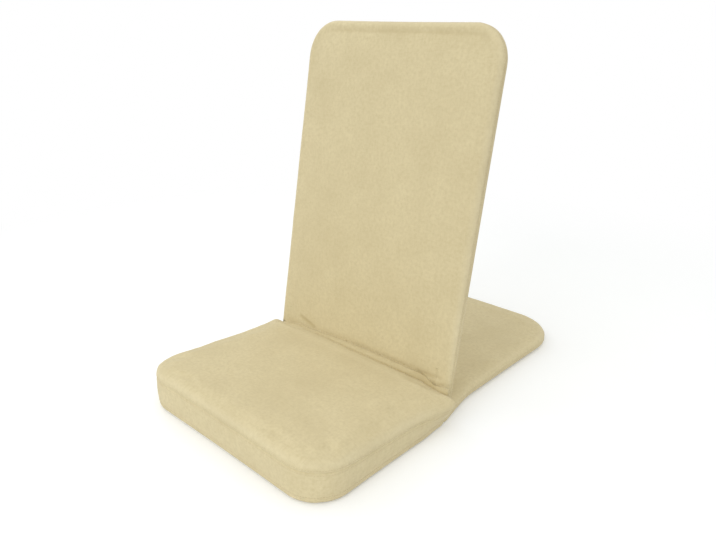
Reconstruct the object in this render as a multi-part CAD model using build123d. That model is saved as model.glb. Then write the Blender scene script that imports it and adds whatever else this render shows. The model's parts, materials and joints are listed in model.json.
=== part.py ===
from build123d import *
import math
import os

# Folding floor chair, millimetres. +Z is up, -Y is the front, +X is the sitter's left.
# The origin is on the floor, under the centre of the whole chair.
# A flat steel loop lies on the floor. Its front half carries the wedge seat cushion and its
# rear half is the flat panel that stops the chair tipping. The back is a steel hoop in a
# padded cover, on two shoulder bolts, and it leans on two stop flanges of the hinge plates.

# Seat cushion. Widths and depths are between the corner points of each panel's drawn outline, a
# little over the rounded panel's own reach.
SEAT_WIDTH = 514.0
SEAT_DEPTH = 364.5
SEAT_FRONT_HEIGHT = 83.5
SEAT_REAR_HEIGHT = 62.0
SEAT_CORNER_RADIUS = 74.0
SEAT_REAR_CORNER_RADIUS = 22.0
SEAT_TOP_EDGE_RADIUS = 16.0
SEAT_BOTTOM_EDGE_RADIUS = 9.0
SEAT_CROWN = 9.0
SEAT_DRAW_IN = 3.0
SEAT_TOP_SEAM_DROP = 20.0
SEAT_BOTTOM_SEAM_HEIGHT = 9.5

# Back panel. Its length runs up the lean from the datum height to the top edge.
BACK_WIDTH = 480.0
BACK_LENGTH = 721.0
BACK_DATUM_HEIGHT = 13.0
BACK_LEAN = 10.4
BACK_MIDDLE_THICKNESS = 34.0
BACK_CROWN = 3.0
BACK_CORNER_RADIUS = 70.0
BACK_LOWER_CORNER_RADIUS = 14.0
BACK_EDGE_RADIUS = 11.0
BACK_DRAW_IN = 2.0
BACK_SKIRT = 57.0

# Rear panel
REAR_WIDTH = 448.0
REAR_DEPTH = 490.5
REAR_THICKNESS = 27.0
REAR_CORNER_RADIUS = 116.0
REAR_EDGE_RADIUS = 13.0
REAR_DRAW_IN = 2.0
REAR_DISH = 3.0
REAR_DISH_RADIUS = 190.0

# Fabric and closure
COVER_THICKNESS = 1.2
GUSSET_LENGTH = 440.0
GUSSET_DEPTH = 22.0
GUSSET_HEIGHT = 30.0
GUSSET_CENTRE_RISE = -9.0
CLOSURE_LENGTH = 360.0
CLOSURE_WIDTH = 25.0
CLOSURE_THICKNESS = 1.2
CLOSURE_SETBACK = 70.0

# Steel tube frames
TUBE_DIAMETER = 19.0
TUBE_WALL = 1.5
BASE_TUBE_INSET = 13.5
BASE_FRONT_INSET = 42.0
BASE_FRONT_BEND = 60.0
BASE_JOINT_SETBACK = 110.0
FERRULE_LENGTH = 60.0
CROSS_TUBE_DIAMETER = 16.0
CROSS_TUBE_WALL = 1.2
BACK_TUBE_INSET = 16.0
BACK_TUBE_STUB = 50.0
BACK_CROSS_RISE = 62.0
END_CAP_FLANGE = 2.0
END_CAP_PLUG = 12.0

# Pivot and hinge plate
PIVOT_HEIGHT = 88.0
FOLD_ANGLE = 95.0
PLATE_THICKNESS = 3.0
PLATE_HEAD_RADIUS = 9.0
PLATE_FOOT_LENGTH = 42.0
PLATE_FOOT_HEIGHT = 26.0
PLATE_FLARE_DROP = 23.0
PLATE_FLARE_LENGTH = 5.0
STOP_TOP_DROP = 31.0
STOP_LENGTH = 15.0
STOP_WIDTH = 20.0
BUSH_FLANGE_RADIUS = 9.0
BUSH_CORE_RADIUS = 5.5
BUSH_FACE = 1.2
SHOULDER_RADIUS = 4.0
BOLT_HEAD_RADIUS = 7.0
BOLT_HEAD_HEIGHT = 2.2
THREAD_RADIUS = 3.0
THREAD_END = 1.0
WASHER_RADIUS = 6.5
WASHER_THICKNESS = 1.2
NUT_ACROSS_FLATS = 10.0
NUT_HEIGHT = 6.0
NUT_COLLAR = 1.5

# Clearances
HINGE_GAP = 0.8
RUNNING_CLEARANCE = 0.05
SIDE_PLAY = 0.3
BOLT_HOLE_CLEARANCE = 0.2
STOP_GAP = 0.3
SLOT_CLEARANCE = 0.6
SLIT_CLEARANCE = 0.2
NOTCH_CLEARANCE = 3.0
SOFT_CLEARANCE = 1.0
GUSSET_GAP = 0.5

# Places worked out from the sizes above
FAR = 2000.0
LEAN = math.radians(BACK_LEAN)
DATUM_Y = (SEAT_DEPTH - REAR_DEPTH) / 2
PIVOT_RISE = PIVOT_HEIGHT - BACK_DATUM_HEIGHT
PIVOT_Y = DATUM_Y + PIVOT_RISE * math.tan(LEAN)
BACK_TOP = BACK_LENGTH - PIVOT_RISE / math.cos(LEAN)
BACK_BOTTOM = -BACK_SKIRT
SEAT_FRONT_Y = DATUM_Y - SEAT_DEPTH
REAR_END_Y = DATUM_Y + REAR_DEPTH
TUBE_RADIUS = TUBE_DIAMETER / 2
TUBE_BORE_RADIUS = TUBE_RADIUS - TUBE_WALL
BASE_TUBE_HEIGHT = REAR_THICKNESS / 2
BASE_TUBE_X = REAR_WIDTH / 2 - BASE_TUBE_INSET
BACK_TUBE_X = BACK_WIDTH / 2 - BACK_TUBE_INSET
BASE_JOINT_Y = DATUM_Y + BASE_JOINT_SETBACK
PLATE_OUTER_X = BACK_TUBE_X - TUBE_RADIUS - BUSH_FACE - SIDE_PLAY
PLATE_INNER_X = PLATE_OUTER_X - PLATE_THICKNESS
STOP_NEAR = TUBE_RADIUS + STOP_GAP
STOP_FAR = STOP_NEAR + PLATE_THICKNESS

# Local axes of the back: x across, y up the lean, z out of the front face, zero at the pivot.
BACK_PLANE = Plane(
    origin=(0, PIVOT_Y, PIVOT_HEIGHT),
    x_dir=(1, 0, 0),
    z_dir=(0, -math.cos(LEAN), math.sin(LEAN)),
)
BACK_PLACE = BACK_PLANE.location


def back_half_thickness(across, up):
    """Half thickness of the crowned back panel at a place on it."""
    middle = (BACK_TOP + BACK_BOTTOM) / 2
    half_length = (BACK_TOP - BACK_BOTTOM) / 2
    radius = half_length ** 2 / (2 * BACK_CROWN)
    return BACK_MIDDLE_THICKNESS / 2 - (across ** 2 + (up - middle) ** 2) / (2 * radius)


SEAT_REAR_OFFSET = back_half_thickness(0, 0) + HINGE_GAP


def slab(x_low, x_high, y_low, y_high, z_low, z_high):
    """A box between two corners."""
    size = (x_high - x_low, y_high - y_low, z_high - z_low)
    centre = ((x_low + x_high) / 2, (y_low + y_high) / 2, (z_low + z_high) / 2)
    return Pos(*centre) * Box(*size)


def rod(radius, x_low, x_high):
    """A cylinder along X through the origin's Y and Z."""
    return Pos((x_low + x_high) / 2, 0, 0) * Rot(0, 90, 0) * Cylinder(radius, x_high - x_low)


def drawn_outline(half_width, y_low, y_high, draw_in, low_radius, high_radius):
    """A sewn panel's outline: sides pulled in between rounded corners."""
    middle = (y_low + y_high) / 2
    corners = [(-half_width, y_low), (half_width, y_low), (half_width, y_high), (-half_width, y_high)]
    drawn_half = half_width - draw_in
    middles = [(0, y_low + draw_in), (drawn_half, middle), (0, y_high - draw_in), (-drawn_half, middle)]
    sides = [ThreePointArc(corners[i], middles[i], corners[(i + 1) % 4]) for i in range(4)]
    outline = make_face(Wire(sides))
    rows = outline.vertices().group_by(Axis.Y)
    outline = fillet(rows[0], low_radius)
    return fillet(outline.vertices().sort_by_distance((-half_width, y_high))[:1]
                  + outline.vertices().sort_by_distance((half_width, y_high))[:1], high_radius)


def behind_seat(offset):
    """The half space behind a plane that is parallel to the back, at an offset before it."""
    return BACK_PLACE * slab(-FAR, FAR, -FAR, FAR, -FAR, offset)


def seat_top_frame():
    """Slope of the seat's top and the place on it above the middle of the cushion."""
    slope = math.atan2(SEAT_FRONT_HEIGHT - SEAT_REAR_HEIGHT, SEAT_DEPTH)
    middle_y = DATUM_Y - SEAT_DEPTH / 2
    middle_z = (SEAT_FRONT_HEIGHT + SEAT_REAR_HEIGHT) / 2
    return slope, middle_y, middle_z


def seat_form(inset):
    """The crowned wedge of the seat cushion, taken in by an inset all round."""
    slope, middle_y, middle_z = seat_top_frame()
    outline = drawn_outline(
        SEAT_WIDTH / 2 - inset,
        SEAT_FRONT_Y + inset,
        DATUM_Y + SEAT_DEPTH / 4,
        SEAT_DRAW_IN,
        SEAT_CORNER_RADIUS - inset,
        SEAT_REAR_CORNER_RADIUS,
    )
    half_diagonal = math.hypot(SEAT_WIDTH, SEAT_DEPTH) / 2
    crown_radius = half_diagonal ** 2 / (2 * SEAT_CROWN)
    reach = crown_radius - SEAT_CROWN
    centre_y = middle_y + reach * math.sin(-slope)
    centre_z = middle_z - reach * math.cos(slope)
    dome = Pos(0, centre_y, centre_z) * Sphere(crown_radius - inset)
    form = Pos(0, 0, inset) * extrude(outline, SEAT_FRONT_HEIGHT * 2) & dome
    form = form - behind_seat(SEAT_REAR_OFFSET + inset)
    tall = form.edges().filter_by(lambda edge: edge.bounding_box().size.Z > SEAT_REAR_HEIGHT / 2)
    rear_uprights = tall.sort_by(Axis.Y)[-2:]
    form = fillet(rear_uprights, SEAT_REAR_CORNER_RADIUS - inset)
    bottom = form.faces().sort_by(Axis.Z)[0]
    form = fillet(bottom.edges(), SEAT_BOTTOM_EDGE_RADIUS - inset)
    top = form.faces().sort_by(Axis.Z)[-1]
    return fillet(top.edges(), SEAT_TOP_EDGE_RADIUS - inset)


def rear_form(inset):
    """The flat rear panel, round at its rim and dished between the tubes."""
    outline = drawn_outline(
        REAR_WIDTH / 2 - inset,
        DATUM_Y - REAR_DEPTH / 4,
        REAR_END_Y - inset,
        REAR_DRAW_IN,
        REAR_EDGE_RADIUS,
        REAR_CORNER_RADIUS - inset,
    )
    form = Pos(0, 0, inset) * extrude(outline, REAR_THICKNESS - 2 * inset)
    flats = form.faces().filter_by(Axis.Z)
    form = fillet(flats.edges(), REAR_EDGE_RADIUS - inset)
    dish_radius = REAR_DISH_RADIUS ** 2 / (2 * REAR_DISH)
    dish_y = DATUM_Y + REAR_DEPTH / 2
    dish = Pos(0, dish_y, REAR_THICKNESS - REAR_DISH + dish_radius) * Sphere(dish_radius + inset)
    return form - dish - BACK_PLACE * slab(-FAR, FAR, -FAR, FAR, SEAT_REAR_OFFSET - inset, FAR)


def back_form(inset):
    """The crowned panel of the back in its local axes."""
    outline = drawn_outline(
        BACK_WIDTH / 2 - inset,
        BACK_BOTTOM + inset,
        BACK_TOP - inset,
        BACK_DRAW_IN,
        BACK_LOWER_CORNER_RADIUS - inset,
        BACK_CORNER_RADIUS - inset,
    )
    middle = (BACK_TOP + BACK_BOTTOM) / 2
    crown_radius = ((BACK_TOP - BACK_BOTTOM) / 2) ** 2 / (2 * BACK_CROWN)
    reach = crown_radius - BACK_MIDDLE_THICKNESS / 2
    slab_half = BACK_MIDDLE_THICKNESS
    form = Pos(0, 0, -slab_half) * extrude(outline, 2 * slab_half)
    for side in (-1, 1):
        form = form & Pos(0, middle, side * reach) * Sphere(crown_radius - inset)
    faces = form.faces().sort_by(Axis.Z)
    rims = faces[0].edges() + faces[-1].edges()
    return fillet(rims, BACK_EDGE_RADIUS - inset)


def tube(path, radius, wall):
    """A round tube along a path, and the same with no bore."""
    start = Plane(origin=path @ 0, z_dir=path % 0)
    solid = sweep(start * Circle(radius), path=path)
    bore = sweep(start * Circle(radius - wall), path=path)
    return solid - bore, solid


def base_path(y_joint, y_bend, bend_radius):
    """One half of the base loop, from the joint on one side round to the other."""
    points = [(side, y, BASE_TUBE_HEIGHT) for side, y in (
        (BASE_TUBE_X, y_joint), (BASE_TUBE_X, y_bend), (-BASE_TUBE_X, y_bend), (-BASE_TUBE_X, y_joint))]
    return FilletPolyline(*points, radius=bend_radius)


def both_sides(shape):
    """The right piece and its mirror image on the left."""
    return {"right": shape, "left": mirror(shape, about=Plane.YZ)}


def hinge_plate(base_tubes):
    """A bent sheet bracket: foot coped to the tube, eye for the bolt and a folded stop flange."""
    def at(forward, up):
        """Y and Z of a place in the back's axes."""
        place = BACK_PLANE.from_local_coords(Vector(0, up, forward))
        return place.Y, place.Z

    tube_crest = BASE_TUBE_HEIGHT + TUBE_RADIUS / 2
    front_low = at(STOP_FAR, -(PIVOT_HEIGHT - tube_crest) / math.cos(LEAN))
    rear_low = at(-PLATE_HEAD_RADIUS, -(PIVOT_HEIGHT - PLATE_FOOT_HEIGHT) / math.cos(LEAN))
    foot_end = DATUM_Y + PLATE_FOOT_LENGTH
    points = [
        at(PLATE_HEAD_RADIUS, 0),
        at(PLATE_HEAD_RADIUS, -PLATE_FLARE_DROP),
        at(STOP_FAR, -PLATE_FLARE_DROP - PLATE_FLARE_LENGTH),
        front_low,
        (foot_end, front_low[1]),
        (foot_end, PLATE_FOOT_HEIGHT - 2 * PLATE_THICKNESS),
        (foot_end - 2 * PLATE_THICKNESS, PLATE_FOOT_HEIGHT),
        rear_low,
        at(-PLATE_HEAD_RADIUS, 0),
    ]
    side_plane = Plane(origin=(PLATE_INNER_X, 0, 0), x_dir=(0, 1, 0), z_dir=(1, 0, 0))
    blank = make_face(Polyline(*points, close=True))
    web = extrude(side_plane * blank, PLATE_THICKNESS)
    head = BACK_PLACE * rod(PLATE_HEAD_RADIUS, PLATE_INNER_X, PLATE_OUTER_X)
    eye = BACK_PLACE * rod(THREAD_RADIUS + BOLT_HOLE_CLEARANCE, PLATE_INNER_X - 1, PLATE_OUTER_X + 1)
    flange = BACK_PLACE * slab(
        PLATE_INNER_X,
        PLATE_OUTER_X + STOP_WIDTH,
        -STOP_TOP_DROP - STOP_LENGTH,
        -STOP_TOP_DROP,
        STOP_NEAR,
        STOP_FAR,
    )
    return web + head + flange - eye - base_tubes


def pivot_bolt():
    """Low-head shoulder bolt, from outside the back's tube to the plate and the nut."""
    head_low = BACK_TUBE_X + TUBE_RADIUS + BUSH_FACE + SIDE_PLAY
    nut_low = PLATE_INNER_X - WASHER_THICKNESS - NUT_HEIGHT
    head = rod(BOLT_HEAD_RADIUS, head_low, head_low + BOLT_HEAD_HEIGHT)
    head = fillet(head.edges().sort_by(Axis.X)[-1:], BOLT_HEAD_HEIGHT / 2)
    shoulder = rod(SHOULDER_RADIUS, PLATE_OUTER_X, head_low)
    thread = rod(THREAD_RADIUS, nut_low - THREAD_END, PLATE_OUTER_X)
    return BACK_PLACE * (head + shoulder + thread)


def pivot_washer():
    """Plain washer between the plate and the nut."""
    low = PLATE_INNER_X - WASHER_THICKNESS
    ring = rod(WASHER_RADIUS, low, PLATE_INNER_X)
    return BACK_PLACE * (ring - rod(THREAD_RADIUS + BOLT_HOLE_CLEARANCE, low - 1, PLATE_INNER_X + 1))


def pivot_nut():
    """Hexagon nut with its collar towards the middle of the chair."""
    high = PLATE_INNER_X - WASHER_THICKNESS
    low = high - NUT_HEIGHT
    side_plane = Plane(origin=(low + NUT_COLLAR, 0, 0), x_dir=(0, 1, 0), z_dir=(1, 0, 0))
    across = RegularPolygon(NUT_ACROSS_FLATS / 2, 6, major_radius=False)
    hexagon = extrude(side_plane * across, NUT_HEIGHT - NUT_COLLAR)
    nut = hexagon + rod((NUT_ACROSS_FLATS - NUT_COLLAR) / 2, low, low + NUT_COLLAR)
    return BACK_PLACE * (nut - rod(THREAD_RADIUS, low - 1, high + 1))


def pivot_bush():
    """Moulded bush through the back's tube, with a flange each side hollowed to sit on it."""
    inner = BACK_TUBE_X - TUBE_RADIUS - BUSH_FACE
    outer = BACK_TUBE_X + TUBE_RADIUS + BUSH_FACE
    leg = Pos(BACK_TUBE_X, 0, 0) * Rot(90, 0, 0) * Cylinder(TUBE_RADIUS, 4 * BUSH_FLANGE_RADIUS)
    flanges = rod(BUSH_FLANGE_RADIUS, inner, outer) - leg
    bush = flanges + rod(BUSH_CORE_RADIUS, inner, outer)
    return bush - rod(SHOULDER_RADIUS + RUNNING_CLEARANCE, inner - 1, outer + 1)


def end_cap():
    """Plug in the lower end of the back's tube."""
    flange = Pos(0, -END_CAP_FLANGE / 2, 0) * Rot(90, 0, 0) * Cylinder(TUBE_RADIUS, END_CAP_FLANGE)
    plug = Pos(0, END_CAP_PLUG / 2, 0) * Rot(90, 0, 0) * Cylinder(TUBE_BORE_RADIUS, END_CAP_PLUG)
    return Pos(BACK_TUBE_X, -BACK_TUBE_STUB, 0) * (flange + plug)


def plate_room(reach_up):
    """Room in the back for one hinge plate and its stop flange while the back folds."""
    slot = slab(
        PLATE_INNER_X - SLOT_CLEARANCE,
        PLATE_OUTER_X + SLIT_CLEARANCE,
        -BACK_SKIRT - SOFT_CLEARANCE,
        reach_up,
        -PLATE_HEAD_RADIUS - SLOT_CLEARANCE,
        BACK_MIDDLE_THICKNESS,
    )
    notch = slab(
        PLATE_INNER_X - SLOT_CLEARANCE,
        PLATE_OUTER_X + STOP_WIDTH + SLOT_CLEARANCE,
        -BACK_SKIRT - SOFT_CLEARANCE,
        -STOP_TOP_DROP + NOTCH_CLEARANCE,
        TUBE_RADIUS,
        BACK_MIDDLE_THICKNESS,
    )
    return slot + notch


def base_frame_pieces():
    """The floor loop in two bent tubes, its ferrules, cross tube and hinge plates."""
    front_path = base_path(BASE_JOINT_Y, SEAT_FRONT_Y + BASE_FRONT_INSET, BASE_FRONT_BEND)
    rear_path = base_path(BASE_JOINT_Y, REAR_END_Y - BASE_TUBE_INSET, REAR_CORNER_RADIUS - BASE_TUBE_INSET)
    front, front_solid = tube(front_path, TUBE_RADIUS, TUBE_WALL)
    rear, rear_solid = tube(rear_path, TUBE_RADIUS, TUBE_WALL)
    loop_solid = front_solid + rear_solid

    joint_line = Line((BASE_TUBE_X, BASE_JOINT_Y - FERRULE_LENGTH / 2, BASE_TUBE_HEIGHT),
                      (BASE_TUBE_X, BASE_JOINT_Y + FERRULE_LENGTH / 2, BASE_TUBE_HEIGHT))
    ferrule, _ = tube(joint_line, TUBE_BORE_RADIUS, TUBE_WALL)

    cross_line = Line((-BASE_TUBE_X, PIVOT_Y, BASE_TUBE_HEIGHT), (BASE_TUBE_X, PIVOT_Y, BASE_TUBE_HEIGHT))
    cross, cross_solid = tube(cross_line, CROSS_TUBE_DIAMETER / 2, CROSS_TUBE_WALL)

    pieces = {
        "base_tube_front": front,
        "base_tube_rear": rear,
        "base_cross_tube": cross - loop_solid,
    }
    for side, shape in both_sides(ferrule).items():
        pieces["base_ferrule_" + side] = shape
    for side, shape in both_sides(hinge_plate(front_solid)).items():
        pieces["hinge_plate_" + side] = shape
    return pieces, loop_solid + cross_solid


def pivot_pieces():
    """Bolts, washers and nuts, which stay with the base."""
    pieces = {}
    for side, shape in both_sides(pivot_bolt()).items():
        pieces["pivot_bolt_" + side] = shape
    pieces["pivot_washers"] = Compound(children=list(both_sides(pivot_washer()).values()))
    pieces["pivot_nuts"] = Compound(children=list(both_sides(pivot_nut()).values()))
    return pieces


def plate_slits():
    """Slits in the rear panel's top where the hinge plates come up."""
    right = slab(
        PLATE_INNER_X - SLIT_CLEARANCE,
        PLATE_OUTER_X + SLIT_CLEARANCE,
        DATUM_Y - PLATE_FOOT_LENGTH,
        DATUM_Y + PLATE_FOOT_LENGTH + SOFT_CLEARANCE,
        BASE_TUBE_HEIGHT,
        PIVOT_HEIGHT,
    )
    return right + mirror(right, about=Plane.YZ)


def closure_strips():
    """Hook strip on loop strip, flat on the inside of the seat's bottom panel."""
    y_high = DATUM_Y - CLOSURE_SETBACK
    strips = {}
    for level, name in enumerate(("seat_closure_loop", "seat_closure_hook")):
        z_low = COVER_THICKNESS + level * CLOSURE_THICKNESS
        strips[name] = slab(
            -CLOSURE_LENGTH / 2,
            CLOSURE_LENGTH / 2,
            y_high - CLOSURE_WIDTH,
            y_high,
            z_low,
            z_low + CLOSURE_THICKNESS,
        )
    return strips


def seat_pieces(frame_solid):
    """Foam wedge with the frame bedded in it, and its cover in three sewn panels."""
    outer = seat_form(0)
    cavity = seat_form(COVER_THICKNESS)
    slope, middle_y, middle_z = seat_top_frame()
    shell = outer - cavity - frame_solid
    seam = Pos(0, middle_y, middle_z - SEAT_TOP_SEAM_DROP) * Rot(math.degrees(-slope), 0, 0)
    above_seam = seam * slab(-FAR, FAR, -FAR, FAR, 0, FAR)
    below_seam = slab(-FAR, FAR, -FAR, FAR, -FAR, SEAT_BOTTOM_SEAM_HEIGHT)
    strips = closure_strips()
    pieces = {
        "seat_cover_top": shell & above_seam,
        "seat_cover_band": shell - above_seam - below_seam,
        "seat_cover_bottom": shell & below_seam,
    }
    foam = cavity - frame_solid
    for name, strip in strips.items():
        pieces[name] = strip
        foam = foam - strip
    pieces["seat_foam"] = foam
    return pieces, outer


def rear_pieces(frame_solid):
    """Wadding round and between the tubes, and its cover in two panels sewn at the rim."""
    outer = rear_form(0)
    cavity = rear_form(COVER_THICKNESS)
    slits = plate_slits()
    shell = outer - cavity - frame_solid
    top_half = slab(-FAR, FAR, -FAR, FAR, BASE_TUBE_HEIGHT, FAR)
    return {
        "rear_pad": cavity - frame_solid - slits,
        "rear_cover_top": (shell & top_half) - slits,
        "rear_cover_bottom": shell - top_half,
    }


def gusset_piece(seat_outer):
    """Soft roll of spare fabric that joins the seat to the back along the crease."""
    roll = Rot(0, 90, 0) * extrude(Ellipse(GUSSET_HEIGHT / 2, GUSSET_DEPTH / 2), GUSSET_LENGTH / 2, both=True)
    roll = Pos(0, GUSSET_CENTRE_RISE, SEAT_REAR_OFFSET) * Rot(90, 0, 0) * roll
    clear_of_back = slab(-FAR, FAR, -FAR, FAR, -FAR, SEAT_REAR_OFFSET - HINGE_GAP + GUSSET_GAP)
    return BACK_PLACE * (roll - clear_of_back) - seat_outer


def back_pieces():
    """Hoop, cross tube, bushes, end caps, foam and the two cover panels, in local axes."""
    top = BACK_TOP - BACK_TUBE_INSET
    low = -BACK_TUBE_STUB
    points = [(BACK_TUBE_X, low), (BACK_TUBE_X, top), (-BACK_TUBE_X, top), (-BACK_TUBE_X, low)]
    hoop_path = FilletPolyline(*points, radius=BACK_CORNER_RADIUS - BACK_TUBE_INSET)
    hoop, hoop_solid = tube(hoop_path, TUBE_RADIUS, TUBE_WALL)
    for side in (-1, 1):
        leg_x = side * BACK_TUBE_X
        hoop = hoop - rod(BUSH_CORE_RADIUS, leg_x - TUBE_DIAMETER, leg_x + TUBE_DIAMETER)

    cross_line = Line((-BACK_TUBE_X, BACK_CROSS_RISE), (BACK_TUBE_X, BACK_CROSS_RISE))
    cross, cross_solid = tube(cross_line, CROSS_TUBE_DIAMETER / 2, CROSS_TUBE_WALL)

    outer = back_form(0)
    cavity = back_form(COVER_THICKNESS)
    past_square = math.radians(FOLD_ANGLE - 90)
    slot_top = PLATE_HEAD_RADIUS + SLOT_CLEARANCE + BACK_MIDDLE_THICKNESS / 2 * math.tan(past_square)
    right_room = plate_room(slot_top)
    rooms = right_room + mirror(right_room, about=Plane.YZ)
    bolt_end = PLATE_INNER_X - WASHER_THICKNESS - NUT_HEIGHT - THREAD_END - SOFT_CLEARANCE
    bolt_room = rod(BUSH_FLANGE_RADIUS + SOFT_CLEARANCE, bolt_end, BACK_WIDTH / 2)
    bolt_rooms = bolt_room + mirror(bolt_room, about=Plane.YZ)

    shell = outer - cavity - rooms
    front_half = slab(-FAR, FAR, -FAR, FAR, 0, FAR)
    caps = both_sides(end_cap())
    foam = cavity - hoop_solid - cross_solid - rooms - bolt_rooms
    for cap in caps.values():
        foam = foam - cap
    pieces = {
        "back_frame": hoop,
        "back_cross_tube": cross - hoop_solid,
        "back_foam": foam,
        "back_cover_front": shell & front_half,
        "back_cover_rear": shell - front_half,
    }
    for side, shape in both_sides(pivot_bush()).items():
        pieces["pivot_bush_" + side] = shape
    for side, shape in caps.items():
        pieces["back_end_cap_" + side] = shape
    return {name: BACK_PLACE * shape for name, shape in pieces.items()}


def build_chair():
    """Every piece of the chair by its name."""
    frame, frame_solid = base_frame_pieces()
    seat, seat_outer = seat_pieces(frame_solid)
    pieces = {**frame, **pivot_pieces(), **seat, **rear_pieces(frame_solid), **back_pieces()}
    pieces["hinge_gusset"] = gusset_piece(seat_outer)
    return pieces


os.makedirs("parts", exist_ok=True)
for node, piece in build_chair().items():
    solids = piece.solids()
    export_step(solids[0] if len(solids) == 1 else Compound(children=list(solids)), f"parts/{node}.step")
    print(node, len(solids), "solids", round(sum(solid.volume for solid in solids) / 1000, 1), "cm3")
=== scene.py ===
import json
import logging
import math
from dataclasses import dataclass, field
from enum import Enum
from typing import Callable

import bmesh
import bpy
import numpy as np
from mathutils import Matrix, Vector
from mathutils.bvhtree import BVHTree


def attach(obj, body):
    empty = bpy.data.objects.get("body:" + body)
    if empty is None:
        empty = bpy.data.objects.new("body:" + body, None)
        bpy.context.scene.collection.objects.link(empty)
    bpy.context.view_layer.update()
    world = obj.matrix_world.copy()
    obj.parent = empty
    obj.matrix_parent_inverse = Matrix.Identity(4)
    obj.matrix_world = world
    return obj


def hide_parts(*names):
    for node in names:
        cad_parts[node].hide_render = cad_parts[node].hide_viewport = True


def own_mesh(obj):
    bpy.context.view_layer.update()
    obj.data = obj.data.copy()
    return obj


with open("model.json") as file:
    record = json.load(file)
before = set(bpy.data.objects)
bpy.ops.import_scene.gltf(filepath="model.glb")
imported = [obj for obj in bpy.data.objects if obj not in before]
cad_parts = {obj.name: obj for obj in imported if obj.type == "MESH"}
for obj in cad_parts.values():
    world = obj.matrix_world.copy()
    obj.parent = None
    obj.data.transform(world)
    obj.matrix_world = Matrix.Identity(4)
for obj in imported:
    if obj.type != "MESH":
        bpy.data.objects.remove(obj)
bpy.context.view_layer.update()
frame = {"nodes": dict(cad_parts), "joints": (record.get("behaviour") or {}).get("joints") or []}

logging.basicConfig(level=logging.INFO, format="%(message)s")
log = logging.getLogger("floor_chair")

# Places that the pieces share, in metres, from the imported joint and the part's own sizes.
FOLD = frame["joints"][0]
PIVOT_Y = FOLD["pos_m"][1]
PIVOT_Z = FOLD["pos_m"][2]
LEAN = math.radians(10.4)
FOLDED_SLOPE = math.radians(90.0 - 95.0) + LEAN
DATUM_Y = -0.063
WALL_OFFSET = 0.0157
PLATE_NEAR = 0.2094
PLATE_FAR = 0.2134

# How far out the back's front face may reach low down and how much more of it higher up, the gap between the folded
# back and the seat, and the width of the rounded shoulder where a face is held to such a limit.
FACE_LOW = 0.0149
FACE_RISE = 0.0044
FOLD_GAP = 0.0009
SHOULDER = 0.0008

# Degrees of turn of the rows round a rolled edge, and the turn past which an edge is crisp.
QUARTER_TURN = (0, 18, 36, 54, 72, 90)
CRISP = math.radians(55)

# How many plane waves make a ripple, how much longer or shorter than its wavelength they are, and what their sum is
# divided by.
WAVES = 24
WAVE_RATES = (0.6, 1.5)
WAVE_SUM = 7.0

# Along a rim's seam: how deep it pinches and how wide, the height, length and reach of the puckers beside it, and how
# much darker it is.
PINCH_DEPTH = 0.0009
PINCH_WIDTH = 0.0011
PUCKER_HEIGHT = 0.00025
PUCKER_LENGTH = 0.016
PUCKER_REACH = 0.006
SEAM_DARKENING = 0.3
DARKENING_WIDTH = 0.0012

WHITE = (1.0, 1.0, 1.0, 1.0)

# The range that most of a noise texture's values lie in.
NOISE_LOW = 0.3
NOISE_HIGH = 0.7

# About the length of the step that closes a band's row on itself, along the cloth.
CLOSING_STEP = 0.006

# Names of the cloth's own map, of its mask of wear and painted highlight, and of darker seams and painted shade.
CLOTH_UV = "cloth"
WEAR_AND_HIGHLIGHT = "wear_and_highlight"
DARK_SEAM_AND_SHADE = "dark_seam_and_shade"

Array = np.ndarray
Level = Callable[[Array], Array]
Reshape = Callable[[Array], Array]
RolledLevel = Callable[[Array, float], Array]

# The crease along the back's lower edge: place across, height of its crest, reach out of the back's mid-plane.
CREASE_KEYS = (
    (-0.2270, 0.0640, 0.0190),
    (-0.2050, 0.0668, 0.0200),
    (-0.1310, 0.0725, 0.0235),
    (-0.0620, 0.0780, 0.0258),
    (0.0150, 0.0795, 0.0265),
    (0.0850, 0.0808, 0.0250),
    (0.1220, 0.0802, 0.0235),
    (0.1450, 0.0795, 0.0218),
    (0.1700, 0.0798, 0.0205),
    (0.1800, 0.0794, 0.0204),
    (0.1880, 0.0780, 0.0202),
    (0.1960, 0.0750, 0.0199),
    (0.2040, 0.0710, 0.0195),
    (0.2110, 0.0680, 0.0194),
    (0.2190, 0.0690, 0.0202),
    (0.2280, 0.0716, 0.0208),
    (0.2400, 0.0712, 0.0204),
    (0.2460, 0.0700, 0.0192),
)


class Panel(Enum):
    """The cloth panel of a boxed cover that a face belongs to."""

    TOP = 0
    BAND = 1
    BOTTOM = 2


class Crease(Enum):
    """What the crease's keys say at a place across the chair, by its column."""

    CREST = 1
    REACH = 2


def smooth(value: Array, low: float, high: float) -> Array:
    """Smoothstep of a value between two limits.

    Args:
        value: Values to map.
        low: Where the result is 0.
        high: Where the result is 1.

    Returns:
        Values from 0 to 1.
    """
    share = np.clip((value - low) / (high - low), 0.0, 1.0)
    return share * share * (3.0 - 2.0 * share)


def bell(value: Array, width: float) -> Array:
    """A Gaussian bump of a value, 1 at zero, with that half width."""
    return np.exp(-((value / width) ** 2))


def crease_at(across: Array | float, what: Crease) -> Array:
    """Height of the crease's crest, or its reach out of the back's mid-plane, at places across the chair."""
    table = np.array(CREASE_KEYS).T
    return np.interp(across, table[0], table[what.value])


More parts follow.
